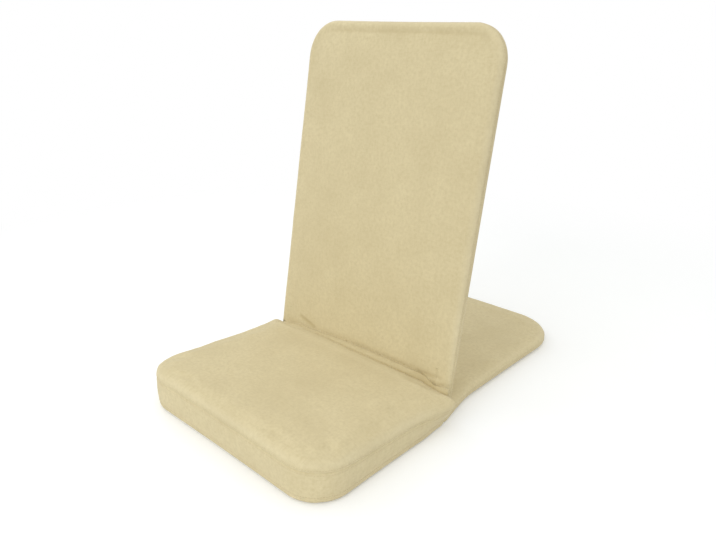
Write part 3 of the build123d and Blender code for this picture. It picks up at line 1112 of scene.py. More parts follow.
POWDER_COAT = HardFinish(
    name="black_powder_coat",
    colour=(0.018, 0.018, 0.019, 1),
    worn=(0.06, 0.06, 0.062, 1),
    roughness=0.5,
    metallic=0.0,
    grain=0.0007,
    relief=0.0001,
    coat=0.2,
)
ZINC_PLATE = HardFinish(
    name="zinc_plate",
    colour=(0.62, 0.63, 0.64, 1),
    worn=(0.42, 0.43, 0.45, 1),
    roughness=0.36,
    metallic=1.0,
    grain=0.0004,
    relief=0.00004,
)
MOULDED_NYLON = HardFinish(
    name="moulded_nylon",
    colour=(0.03, 0.03, 0.031, 1),
    worn=(0.055, 0.055, 0.056, 1),
    roughness=0.55,
    metallic=0.0,
    grain=0.0009,
    relief=0.00006,
)


@dataclass
class Finishes:
    """Every finish of the chair."""

    canvas: bpy.types.Material = field(default_factory=CanvasFinish("sand_canvas").make)
    thread: bpy.types.Material = field(default_factory=ThreadFinish("sand_thread").make)
    tape: bpy.types.Material = field(default_factory=TapeFinish("closure_tape").make)
    coat: bpy.types.Material = field(default_factory=POWDER_COAT.make)
    zinc: bpy.types.Material = field(default_factory=ZINC_PLATE.make)
    nylon: bpy.types.Material = field(default_factory=MOULDED_NYLON.make)


def stitch_tree() -> bpy.types.NodeTree:
    """Thread stitches along a line, each lying on the cloth.

    Returns:
        The Geometry Nodes tree.
    """
    group, sheet, start, end = open_group(
        "stitch_row",
        {
            "Line": ("NodeSocketGeometry", None),
            "Pitch": (FLOAT, 0.005),
            "Stitch Length": (FLOAT, 0.0036),
            "Thread Radius": (FLOAT, 0.0004),
            "Thread": ("NodeSocketMaterial", None),
        },
        {"Stitches": "NodeSocketGeometry"},
        "GeometryNodeTree",
    )
    line = sheet.add("GeometryNodeMeshToCurve", {0: start.outputs["Line"]})
    line = sheet.add("GeometryNodeResampleCurve", {"Curve": line, "Length": start.outputs["Pitch"]}, mode="LENGTH")
    bead = sheet.add("GeometryNodeMeshUVSphere", {"Segments": 6, "Rings": 4, "Radius": 1.0})
    half = sheet.math("MULTIPLY", start.outputs["Stitch Length"], 0.5)
    size = sheet.add(
        "ShaderNodeCombineXYZ", {0: half, 1: start.outputs["Thread Radius"], 2: start.outputs["Thread Radius"]}
    )
    bead = sheet.add("GeometryNodeTransform", {"Geometry": bead, "Scale": size})
    facing = sheet.add("GeometryNodeInputNamedAttribute", {"Name": "facing"}, data_type="FLOAT_VECTOR")
    tangent = sheet.add("GeometryNodeInputTangent")
    turn = sheet.add("FunctionNodeAlignRotationToVector", {"Vector": facing.outputs["Attribute"]}, axis="Z")
    turn = sheet.add(
        "FunctionNodeAlignRotationToVector", {"Rotation": turn, "Vector": tangent}, axis="X", pivot_axis="Z"
    )
    row = sheet.add("GeometryNodeInstanceOnPoints", {"Points": line, "Instance": bead, "Rotation": turn})
    row = sheet.add("GeometryNodeRealizeInstances", {0: row})
    row = sheet.add("GeometryNodeSetMaterial", {"Geometry": row, "Material": start.outputs["Thread"]})
    sheet.feed(end.inputs["Stitches"], row)
    return group


@dataclass
class Seamstress:
    """Sews rows of stitches onto finished pieces."""

    thread: bpy.types.Material
    pitch: float = 0.0048
    length: float = 0.0036
    radius: float = 0.00042
    lift: float = 0.35
    tree: bpy.types.NodeTree = field(default_factory=stitch_tree)

    def sew(self, name: str, cover: bpy.types.Object, lines: list[Array], closed: bool, body: str) -> None:
        """Adds one piece of stitches, along lines laid on a cover.

        Args:
            name: Name of the piece.
            cover: The piece that is sewn.
            lines: Places near the cover's surface.
            closed: Whether each line joins its own start.
            body: Body that the stitches ride on.
        """
        tree = search_tree(cover)
        points, facing, edges = [], [], []
        for line in lines:
            first = len(points)
            for place in line:
                spot, normal, _, _ = tree.find_nearest(Vector(place))
                points.append(spot + normal * self.radius * self.lift)
                facing.append(normal)
            edges += [(i, i + 1) for i in range(first, len(points) - 1)]
            if closed:
                edges.append((len(points) - 1, first))
        rows = bpy.data.meshes.new(name)
        rows.from_pydata([tuple(p) for p in points], edges, [])
        mask = rows.attributes.new("facing", "FLOAT_VECTOR", "POINT")
        mask.data.foreach_set("vector", np.array([tuple(n) for n in facing], dtype=np.float32).ravel())
        piece = bpy.data.objects.new(name, rows)
        bpy.context.scene.collection.objects.link(piece)
        step = piece.modifiers.new("stitches", "NODES")
        step.node_group = self.tree
        sizes = {
            "Pitch": self.pitch,
            "Stitch Length": self.length,
            "Thread Radius": self.radius,
            "Thread": self.thread,
        }
        for item in self.tree.interface.items_tree:
            if item.in_out == "INPUT" and item.name in sizes:
                step[item.identifier] = sizes[item.name]
        bake_modifiers(piece)
        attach(piece, body)
        log.info("%s has %d faces", name, len(piece.data.polygons))


def both_sides(low: tuple, high: tuple) -> list[tuple[Array, Array]]:
    """A box on the chair's +X side and its mirror image on the other side.

    Args:
        low: Lowest corner of the box on the +X side.
        high: Highest corner of it.

    Returns:
        Lowest and highest corners of the mirror image, then those of the box.
    """
    mirrored = np.array([-high[0], *low[1:]]), np.array([-low[0], *high[1:]])
    return [mirrored, (np.array(low), np.array(high))]


def cut_rooms(piece: bpy.types.Object, rooms: list[tuple[Array, Array]], turned: bool) -> None:
    """Cuts box-shaped slots out of a piece.

    Args:
        piece: The piece to cut.
        rooms: Lowest and highest corners of each box.
        turned: Whether the corners are in the back's axes.
    """
    for low, high in rooms:
        shape = bmesh.new()
        bmesh.ops.create_cube(shape, size=1.0)
        mesh = bpy.data.meshes.new("slot_room")
        shape.to_mesh(mesh)
        shape.free()
        corners = read_points(mesh) * (high - low) + (high + low) / 2
        write_points(mesh, lean_out(corners) if turned else corners)
        cutter = bpy.data.objects.new("slot_room", mesh)
        bpy.context.scene.collection.objects.link(cutter)
        step = piece.modifiers.new("slot", "BOOLEAN")
        step.operation = "DIFFERENCE"
        step.solver = "EXACT"
        step.object = cutter
        bake_modifiers(piece)
        bpy.data.objects.remove(cutter)
    piece.data.set_sharp_from_angle(angle=CRISP)


@dataclass
class SeatCushion:
    """The wedge seat cushion in its boxed cover."""

    half_width: float = 0.2560
    front_y: float = -0.4252
    depth: float = 0.3645
    front_height: float = 0.0835
    rear_height: float = 0.062
    crown: float = 0.0085
    corner: float = 0.077
    rear_corner: float = 0.008
    heel_taper: float = 0.006
    ear: float = 0.015
    top_edge: float = 0.0150
    rear_edge_share: float = 0.6
    bottom_edge: float = 0.009
    draw_in: float = 0.003
    seam_drop: float = 0.020
    bottom_seam: float = 0.0105
    bulge: float = 0.0012
    rear_swell: float = 0.0045
    side_sag: float = 0.0038
    groove_depth: float = 0.0018
    ridge: float = 0.0010
    ridge_y: float = -0.0985
    seam_inset: float = 0.045
    seam_crown: float = 0.35
    stitch_gap: float = 0.0045
    clear_of_roll: float = 0.055
    turns: tuple = (0, 20, 40, 58, 75, 90)
    low_turns: tuple = (0, 25, 50, 70, 90)
    band_parts: tuple = (0.0, 0.16, 0.33, 0.5, 0.67, 0.84, 1.0)
    swell_run: tuple = (-0.2, -0.095)
    swell_span: tuple = (-0.245, -0.16)
    rear_run: tuple = (-0.16, -0.09)
    lean_run: tuple = (-0.26, -0.1)
    heel_run: tuple = (-0.16, -0.085)
    heel_drop: tuple = (-0.052, -0.004)
    ear_run: tuple = (-0.19, -0.085)
    ear_rise: tuple = (0.010, 0.055)

    def slope(self, place: Array) -> Array:
        """Height of the sloping plane that the top edge follows.

        Args:
            place: Columns X and Y, and perhaps Z.

        Returns:
            The height, a little lower halfway along the sides.
        """
        share = (place[:, 1] - (DATUM_Y - self.depth)) / self.depth
        sag = self.side_sag * (1 - (2 * share - 1).clip(-1, 1) ** 2) * (np.abs(place[:, 0]) / self.half_width) ** 6
        return self.front_height + (self.rear_height - self.front_height) * share - sag

    def top(self, place: Array) -> Array:
        """Height of the crowned top, fuller along the crease.

        Args:
            place: Columns X and Y.

        Returns:
            The height.
        """
        middle = DATUM_Y - self.depth / 2
        reach = math.hypot(self.half_width, self.depth / 2) ** 2
        crown = self.crown * (1 - (place[:, 0] ** 2 + (place[:, 1] - middle) ** 2) / reach)
        span = smooth(-np.abs(place[:, 0]), *self.swell_span)
        swell = self.rear_swell * smooth(place[:, 1], *self.swell_run) * span
        return self.slope(place) + crown + swell

    def seam_height(self, place: Array) -> Array:
        """Height of the seam between the top panel and the band."""
        slope = self.slope(place)
        return slope + self.seam_crown * (self.top(place) - slope) - self.seam_drop

    def form(self) -> BoxedForm:
        """The boxed form before its rear wall leans.

        Returns:
            The form.
        """
        outline = Outline(
            self.half_width, self.front_y, float(wall_y(np.zeros(1))[0]), self.corner, self.rear_corner,
            self.draw_in, self.draw_in, 0.0, 84, 62,
        )

        def share(place: Array) -> Array:
            """Share of the full edge rounding at a place."""
            return 1 - (1 - self.rear_edge_share) * smooth(place[:, 1], *self.rear_run)

        def seam_level(offset: float) -> Level:
            """A level below the top seam."""
            return lambda place: self.seam_height(place) - offset

        def band(part: float) -> Level:
            """A level part of the way down the band."""
            low = self.bottom_seam + 0.0045
            return lambda place: seam_level(0.005)(place) * (1 - part) + low * part

        rings = roll_over(self.top_edge, lambda place, drop: self.top(place) - drop * share(place), self.turns)
        top_rows = (
            (-0.0022, 0.0, Panel.TOP),
            (-0.0008, 0.0, Panel.TOP),
            (0.0, self.seam_inset, Panel.TOP),
            (0.0008, 0.0, Panel.BAND),
            (0.0025, 0.0, Panel.BAND),
        )
        bottom_rows = (
            (0.0020, 0.0, Panel.BAND),
            (0.0007, 0.0, Panel.BAND),
            (0.0, self.seam_inset, Panel.BAND),
            (-0.0007, 0.0, Panel.BOTTOM),
        )
        rings += seam_rows(top_rows, seam_level)
        proud = -self.bulge / self.top_edge
        for part in self.band_parts:
            rings.append(Ring(proud * math.sin(math.pi * part), band(part), Panel.BAND))
        rings += seam_rows(bottom_rows, lambda offset: flat_level(self.bottom_seam + offset))
        reach = self.bottom_edge / self.top_edge
        rings += roll_under(self.bottom_edge, lambda place, rise: flat_level(rise)(place), self.low_turns, reach)
        return BoxedForm(outline, self.top_edge, rings, self.top, flat_level(0.0), share)

    def lean_rear(self, points: Array) -> Array:
        """Leans the rear wall against the back's plane, tapers its lower corners and draws the +X top one out.

        Args:
            points: Places on the form.

        Returns:
            The moved places.
        """
        moved = points.copy()
        moved[:, 1] += math.tan(LEAN) * points[:, 2] * smooth(points[:, 1], *self.lean_run)
        near = smooth(points[:, 1], *self.heel_run) * smooth(-points[:, 2], *self.heel_drop)
        moved[:, 0] -= self.heel_taper * near * np.sign(points[:, 0]) * (np.abs(points[:, 0]) / self.half_width) ** 6
        high = smooth(points[:, 2], *self.ear_rise) * smooth(points[:, 1], *self.ear_run)
        moved[:, 0] += self.ear * high * np.maximum(points[:, 0] / self.half_width, 0.0) ** 8
        return moved

    def settle(self, points: Array) -> Array:
        """Keeps the cushion above the floor, in front of the back and under it when it is folded.

        Args:
            points: Places on the cushion.

        Returns:
            The places, moved where they were past a limit.
        """
        kept = points.copy()
        kept[:, 2] = np.maximum(kept[:, 2], 0.0)
        kept[:, 2] = np.where(kept[:, 2] > 0.05, soft_min(kept[:, 2], folded_ceiling(kept[:, 1])), kept[:, 2])
        local = lean_in(kept)
        local[:, 2] = np.maximum(local[:, 2], WALL_OFFSET)
        return lean_out(local)

    def wrinkle(self, points: Array, normals: Array) -> Array:
        """Sewn seams, small puckers along them and soft unevenness of the top.

        Args:
            points: Places on the cushion.
            normals: The surface's normals there.

        Returns:
            The moved places.
        """
        seam_z = self.seam_height(points)
        side = smooth(-np.abs(normals[:, 2]), -0.75, -0.4)
        drop = seam_z - points[:, 2]
        puckers = ripple(points[:, :2], 0.016, 3) * bell(drop - 0.002, 0.007) * side
        foot = points[:, 2] - self.bottom_seam
        puckers += ripple(points[:, :2], 0.018, 4) * bell(foot - 0.001, 0.006) * side * (points[:, 2] > 0.001)
        lift = -0.0006 * bell(drop, 0.0014) * side - 0.0004 * bell(foot, 0.0011) * side
        lift += 0.00028 * puckers
        top = smooth(normals[:, 2], 0.6, 0.95)
        rest = (points[:, 2] > 0.012).astype(float)
        lift += top * (0.00055 * ripple(points[:, :2], 0.09, 5) + 0.0002 * ripple(points[:, :2], 0.03, 6))
        lift += rest * (1 - top) * 0.0003 * ripple(points, 0.05, 7)
        front = crease_at(points[:, 0], Crease.REACH)
        along = smooth(points[:, 0], -0.15, 0.02) * (1 - 0.5 * smooth(points[:, 0], 0.15, 0.20))
        groove = bell(lean_in(points)[:, 2] - front - 0.0012, 0.0052) * along
        lift -= self.groove_depth * groove * (points[:, 2] > self.clear_of_roll)
        span = smooth(-np.abs(points[:, 0]), -0.235, -0.17)
        lift += self.ridge * bell(points[:, 1] - self.ridge_y, 0.0095) * top * span
        crease = smooth(points[:, 1], -0.15, -0.085)
        lift += top * crease * 0.0007 * ripple(points[:, :2] * [1.0, 0.45], 0.035, 8)
        return points + normals * lift[:, None]

    def surface_marks(self, piece: bpy.types.Object, points: Array, normals: Array) -> None:
        """Writes the cushion's masks: darker seams, painted crease shade, edge wear and a painted crest highlight.

        Args:
            piece: The cushion.
            points: Its places.
            normals: The surface's normals before it was wrinkled.
        """
        seam_z = self.seam_height(points)
        side = smooth(-np.abs(normals[:, 2]), -0.75, -0.4)
        dark_seam_and_shade = 0.12 * side * bell(points[:, 2] - seam_z, 0.0012)
        # Painted shade along the groove in front of the crease's roll, added to the darker seam.
        out = lean_in(points)[:, 2] - crease_at(points[:, 0], Crease.REACH)
        near = smooth(points[:, 0], -0.2, 0.05) * (1 - 0.7 * smooth(points[:, 0], 0.14, 0.20))
        write_mask(piece, DARK_SEAM_AND_SHADE, dark_seam_and_shade + 0.44 * smooth(-out, -0.0078, 0.0) * near)
        # Worn front edge, with a painted highlight along the ridge's crest in front of the crease.
        edge = bell(points[:, 2] - seam_z - 0.013, 0.006) * smooth(-points[:, 1], 0.1, 0.16)
        crest = bell(points[:, 1] - self.ridge_y + 0.004, 0.010) * smooth(-np.abs(points[:, 0]), -0.24, -0.18)
        write_mask(piece, WEAR_AND_HIGHLIGHT, edge + crest * (points[:, 2] > self.clear_of_roll))

    def build(self, finishes: Finishes, seamstress: Seamstress) -> bpy.types.Object:
        """Builds the cushion and its stitches.

        Args:
            finishes: The chair's finishes.
            seamstress: Sews the seams.

        Returns:
            The cushion.
        """
        form = self.form()
        stuffing = Stuffing(pressure=4.0, cap=0.004)
        piece = Cushion("seat_cushion", form, stuffing, self.lean_rear, self.settle).stuff()
        normals = read_points(piece.data, "normal")
        points = self.settle(self.wrinkle(read_points(piece.data), normals))
        write_points(piece.data, points)
        self.surface_marks(piece, points, normals)
        dress(piece, finishes.canvas)
        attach(piece, "base")
        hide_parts("seat_cover_top", "seat_cover_band", "seat_cover_bottom", "seat_foam")
        rim = form.outline.at(0.0)
        ring = self.lean_rear(np.column_stack([rim, self.slope(rim)]))
        seam = self.seam_height(ring)
        low = np.full(len(ring), self.bottom_seam + self.stitch_gap)
        heights = (seam + self.stitch_gap, seam - self.stitch_gap, low)
        lines = [np.column_stack([ring[:, :2], height]) for height in heights]
        seamstress.sew("seat_stitches", piece, lines, True, "base")
        return piece


@dataclass
class RearPanel:
    """The flat rear panel, round over its tubes and dipped between them."""

    half_width: float = 0.2308
    rear_y: float = 0.4286
    thickness: float = 0.027
    corner: float = 0.116
    front_corner: float = 0.003
    edge: float = 0.0128
    draw_in: float = 0.002
    dip: float = 0.0032
    dip_start: float = 0.018
    dip_end: float = 0.060
    flare: float = 0.0162
    seam_inset: float = 0.05
    stitch_gap: float = 0.0042
    slit_low: tuple = (PLATE_NEAR, -0.11, 0.0140)
    slit_high: tuple = (PLATE_FAR, -0.0195, 0.05)
    front_gap: float = 0.0006
    front_edge_loss: float = 0.55
    front_run: tuple = (0.03, 0.075)
    flare_run: tuple = (-0.045, 0.085)
    lean_run: tuple = (-0.02, 0.06)
    ceiling: float = 0.0272
    ceiling_rise: float = 0.002
    wall_gap: float = 0.0003

    def __post_init__(self) -> None:
        """Places the panel's outline."""
        front_y = float(wall_y(np.zeros(1))[0]) + self.front_gap
        self.outline = Outline(
            self.half_width, front_y, self.rear_y, self.front_corner, self.corner,
            self.draw_in, 0.0, self.draw_in, 72, 84,
        )
        self.rim = self.outline.at(0.0)

    def inside(self, place: Array) -> Array:
        """Distance in from the rim, not counting the front end."""
        return rim_distance(place, self.half_width, self.rear_y, self.corner)

    def widen(self, points: Array) -> Array:
        """Widens the front end to meet the seat's rear corners.

        Args:
            points: Places on the panel.

        Returns:
            The moved places.
        """
        moved = points.copy()
        edge = (np.abs(points[:, 0]) / self.half_width) ** 4
        moved[:, 0] += np.sign(points[:, 0]) * self.flare * smooth(-points[:, 1], *self.flare_run) * edge
        return moved

    def top(self, place: Array) -> Array:
        """Height of the top, with its dip inside the tubes."""
        return self.thickness - self.dip * smooth(self.inside(place), self.dip_start, self.dip_end)

    def lean_front(self, points: Array) -> Array:
        """Widens the front end and leans it against the back's plane.

        Args:
            points: Places on the panel.

        Returns:
            The moved places.
        """
        moved = self.widen(points)
        moved[:, 1] += math.tan(LEAN) * moved[:, 2] * smooth(-moved[:, 1], *self.lean_run)
        return moved

    def form(self) -> BoxedForm:
        """The boxed form before its front end leans.

        Returns:
            The form.
        """

        def share(place: Array) -> Array:
            """Share of the full edge rounding: little at the front end."""
            return 1 - self.front_edge_loss * smooth(-place[:, 1], *self.front_run)

        rings = roll_over(self.edge, lambda place, drop: self.top(place) - drop * share(place))
        rings.append(Ring(self.seam_inset, flat_level(self.thickness / 2), Panel.TOP, True))
        rings += roll_under(self.edge, lambda place, rise: rise * share(place))
        return BoxedForm(self.outline, self.edge, rings, self.top, flat_level(0.0), share)

    def settle(self, points: Array) -> Array:
        """Keeps the panel above the floor, behind the seat and below the back.

        Args:
            points: Places on the panel.

        Returns:
            The places, moved where they were past a limit.
        """
        kept = points.copy()
        ceiling = self.ceiling + self.ceiling_rise * smooth(points[:, 1], 0.02, 0.08)
        kept[:, 2] = np.clip(kept[:, 2], 0.0, ceiling)
        local = lean_in(kept)
        local[:, 2] = np.minimum(local[:, 2], WALL_OFFSET - self.wall_gap)
        return lean_out(local)

    def build(self, finishes: Finishes, seamstress: Seamstress) -> bpy.types.Object:
        """Builds the panel and its stitches.

        Args:
            finishes: The chair's finishes.
            seamstress: Sews the seams.

        Returns:
            The panel.
        """
        stuffing = Stuffing(pressure=3.0, cap=0.002)
        piece = Cushion("rear_panel", self.form(), stuffing, self.lean_front, self.settle).stuff()
        points, normals = read_points(piece.data), read_points(piece.data, "normal")
        middle = points[:, 2] - self.thickness / 2
        side = smooth(-np.abs(normals[:, 2]), -0.8, -0.4)
        lift = rim_seam(points, middle, side, 13)
        top = smooth(normals[:, 2], 0.6, 0.95)
        lift += top * (0.0005 * ripple(points[:, :2], 0.11, 14) + 0.00018 * ripple(points[:, :2], 0.035, 15))
        points = self.settle(points + normals * lift[:, None])
        write_points(piece.data, points)
        write_mask(piece, DARK_SEAM_AND_SHADE, seam_darkening(middle, side))
        write_mask(piece, WEAR_AND_HIGHLIGHT, bell(self.inside(points) - 0.008, 0.006) * smooth(points[:, 1], 0.0, 0.05) * top)
        cut_rooms(piece, both_sides(self.slit_low, self.slit_high), False)
        dress(piece, finishes.canvas)
        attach(piece, "base")
        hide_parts("rear_cover_top", "rear_cover_bottom", "rear_pad")
        lines = []
        for offset in (self.stitch_gap, -self.stitch_gap):
            line = self.widen(np.column_stack([self.rim, np.full(len(self.rim), self.thickness / 2 + offset)]))
            line = line[line[:, 1] > -0.06]
            gap = int(np.argmax(np.linalg.norm(np.diff(line, axis=0), axis=1))) + 1
            lines.append(np.roll(line, -gap, axis=0))
        seamstress.sew("rear_stitches", piece, lines, False, "base")
        return piece


@dataclass
class BackPanel:
    """The padded back over its hoop, in the axes of its lean."""

    half_width: float = 0.2418
    low: float = -0.0568
    high: float = 0.6477
    corner: float = 0.070
    low_corner: float = 0.014
    edge: float = 0.0115
    draw_in: float = 0.002
    middle_half: float = 0.017
    crown: float = 0.003
    groove_inset: float = 0.0212
    groove_depth: float = 0.0026
    groove_width: float = 0.0052
    groove_shade: float = 0.3
    fold_depth: float = 0.0021
    press_depth: float = 0.0024
    seam_inset: float = 0.06
    seam_half: float = 0.0009
    stitch_gap: float = 0.0042
    slot_low: tuple = (PLATE_NEAR, -0.07, -0.0098)
    slot_high: tuple = (PLATE_FAR, 0.0112, 0.03)
    foot_low: tuple = (PLATE_NEAR, -0.07, 0.0095)
    foot_high: tuple = (0.2338, -0.0278, 0.03)
    held_half: float = 0.004
    held_top: float = 0.09
    held_low: tuple = (0.2, 0.05)
    rear_limit: float = -0.0152
    low_limit: float = -0.057
    front_start: float = 0.008
    folds: tuple = (
        ((0.1700, -0.0112, 0.015), (0.2050, -0.0086, 0.015), 0.0050),
        ((0.2050, -0.0086, 0.015), (0.2210, -0.0060, 0.015), 0.0034),
        ((0.2010, -0.0180, 0.015), (0.2180, -0.0280, 0.015), 0.0046),
        ((0.2210, -0.0196, 0.0148), (0.2360, -0.0166, 0.0136), 0.0034),
        ((0.2360, -0.0166, 0.0136), (0.2415, -0.0160, 0.0070), 0.0034),
        ((-0.1760, -0.0005, 0.014), (-0.1280, -0.0120, 0.014), 0.0040),
    )

    def __post_init__(self) -> None:
        """Places the panel's outline."""
        self.outline = Outline(
            self.half_width, self.low, self.high, self.low_corner, self.corner,
            self.draw_in, self.draw_in * 0.3, self.draw_in, 66, 98,
        )

    def inside(self, place: Array) -> Array:
        """Distance in from the sides and the top."""
        return rim_distance(place, self.half_width, self.high, self.corner)

    def groove_share(self, place: Array) -> Array:
        """How much of the groove shows: all of it along the top, little round the corners and down the sides.

        Args:
            place: Columns across and up the panel.

        Returns:
            Values from 0 to 1.
        """
        along_top = smooth(place[:, 1], self.high - 0.07, self.high - 0.035)
        along_top *= smooth(-np.abs(place[:, 0]), -0.205, -0.15)
        return (0.2 + 0.8 * along_top) * smooth(place[:, 1], 0.03, 0.15)

    def half(self, place: Array) -> Array:
        """Half thickness of the crowned panel, with the groove inside the hoop.

        Args:
            place: Columns across and up the panel.

        Returns:
            The half thickness.
        """
        middle, reach = (self.high + self.low) / 2, (self.high - self.low) / 2
        spread = place[:, 0] ** 2 + (place[:, 1] - middle) ** 2
        crowned = self.middle_half - self.crown * spread / reach**2
        groove = self.groove_depth * bell(self.inside(place) - self.groove_inset, self.groove_width)
        return crowned - groove * self.groove_share(place)

    def form(self) -> BoxedForm:
        """The boxed form, flat, before it leans.

        Returns:
            The form.
        """
        seam = (
            (self.seam_half, 0.0, Panel.TOP),
            (0.0, self.seam_inset, Panel.TOP),
            (-self.seam_half, 0.0, Panel.BOTTOM),
        )
        rings = roll_over(self.edge, lambda place, drop: self.half(place) - drop)
        rings += seam_rows(seam, flat_level)
        rings += roll_under(self.edge, lambda place, rise: rise - self.half(place))
        return BoxedForm(
            self.outline, self.edge, rings, self.half, lambda place: -self.half(place), flat_level(1.0)
        )

    def held(self, place: Array) -> Array:
        """Places along the groove's top and by the lower corners, where the filling swells nothing.

        Args:
            place: Columns across and up the panel.

        Returns:
            Whether each place is held.
        """
        groove = np.abs(self.inside(place) - self.groove_inset) < self.held_half
        corner = (place[:, 1] < self.held_low[1]) & (np.abs(place[:, 0]) > self.held_low[0])
        return groove & (place[:, 1] > self.high - self.held_top) | corner

    def fold_marks(self, local: Array) -> Array:
        """Mask of the short folds by the lower corners.

        Args:
            local: Places in the back's axes.

        Returns:
            Values from 0 to 1.
        """
        mark = np.zeros(len(local))
        for start, end, width in self.folds:
            first, run = np.array(start), np.array(end) - np.array(start)
            length = float(np.linalg.norm(run))
            offset = local - first
            share = np.clip(offset @ run / length**2, 0, 1)
            away = np.linalg.norm(offset - share[:, None] * run, axis=1)
            mark = np.maximum(mark, bell(away, width) * (0.6 + 0.4 * np.sin(math.pi * share)))
        return mark

    def crease_mark(self, local: Array) -> Array:
        """Mask of the front face along the top of the crease's roll.

        Args:
            local: Places in the back's axes.

        Returns:
            Values from 0 to 1.
        """
        crest = (crease_at(local[:, 0], Crease.CREST) - PIVOT_Z - 0.015 * math.sin(LEAN)) / math.cos(LEAN)
        reach = smooth(-np.abs(local[:, 0] + 0.016), -0.204, -0.184) * (local[:, 2] > 0.006)
        return bell(local[:, 1] - crest + 0.0001, 0.0066) * reach * (0.55 + 0.45 * smooth(local[:, 0], -0.15, 0.05))

    def crease_shade(self, local: Array) -> Array:
        """Painted shade on the front face along the crease and its folds."""
        low = smooth(-local[:, 1], 0.026, 0.034) * (local[:, 2] > self.front_start)
        return 0.95 * self.fold_marks(local) + 0.43 * self.crease_mark(local) + 0.6 * low

    def settle(self, local: Array) -> Array:
        """Keeps the lower part clear of the seat and of the rear panel.

        Args:
            local: Places in the back's axes.

        Returns:
            The places, moved where they were past a limit.
        """
        kept = local.copy()
        near = smooth(-kept[:, 1], -0.12, -0.02)
        front = soft_min(kept[:, 2], face_limit(kept[:, 1]))
        kept[:, 2] = np.where(kept[:, 2] > self.front_start, front, kept[:, 2])
        kept[:, 2] = np.maximum(kept[:, 2], self.rear_limit - 0.01 * (1 - near))
        kept[:, 1] = np.maximum(kept[:, 1], self.low_limit)
        return kept

    def build(self, finishes: Finishes, seamstress: Seamstress) -> bpy.types.Object:
        """Builds the back and its stitches.

        Args:
            finishes: The chair's finishes.
            seamstress: Sews the seams.

        Returns:
            The back.
        """
        stuffing = Stuffing(pressure=4.0, cap=0.003)
        piece = Cushion("back_panel", self.form(), stuffing, np.array, self.settle).stuff(self.held)
        local, normals = read_points(piece.data), read_points(piece.data, "normal")
        side = smooth(-np.abs(normals[:, 2]), -0.8, -0.4)
        lift = rim_seam(local, local[:, 2], side, 23)
        face = smooth(np.abs(normals[:, 2]), 0.6, 0.95)
        lift += face * (0.0006 * ripple(local, 0.12, 24) + 0.0002 * ripple(local, 0.04, 25))
        near_groove = bell(self.inside(local) - self.groove_inset, 0.012) * smooth(local[:, 1], 0.55, 0.6)
        lift += face * near_groove * 0.0004 * ripple(local[:, :2], 0.028, 26)
        lift -= self.fold_depth * self.fold_marks(local) + self.press_depth * self.crease_mark(local)
        local = self.settle(local + normals * lift[:, None])
        write_points(piece.data, lean_out(local))
        inside = self.inside(local)
        # Darker seam, painted shade in the groove, and painted shade along the crease and its folds.
        dark_seam_and_shade = seam_darkening(local[:, 2], side)
        dark_seam_and_shade += self.groove_shade * bell(inside - self.groove_inset, 0.0035) * self.groove_share(local) * face
        write_mask(piece, DARK_SEAM_AND_SHADE, dark_seam_and_shade + self.crease_shade(local))
        write_mask(piece, WEAR_AND_HIGHLIGHT, bell(inside - 0.004, 0.005) * smooth(local[:, 1], 0.0, 0.06))
        slots, feet = both_sides(self.slot_low, self.slot_high), both_sides(self.foot_low, self.foot_high)
        cut_rooms(piece, [room for side_rooms in zip(slots, feet) for room in side_rooms], True)
        dress(piece, finishes.canvas)
        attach(piece, "back")
        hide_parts("back_cover_front", "back_cover_rear", "back_foam")
        rim = self.outline.at(0.0)
        offsets = (self.stitch_gap, -self.stitch_gap)
        lines = [lean_out(np.column_stack([rim, np.full(len(rim), offset)])) for offset in offsets]
        seamstress.sew("back_stitches", piece, lines, True, "back")
        return piece


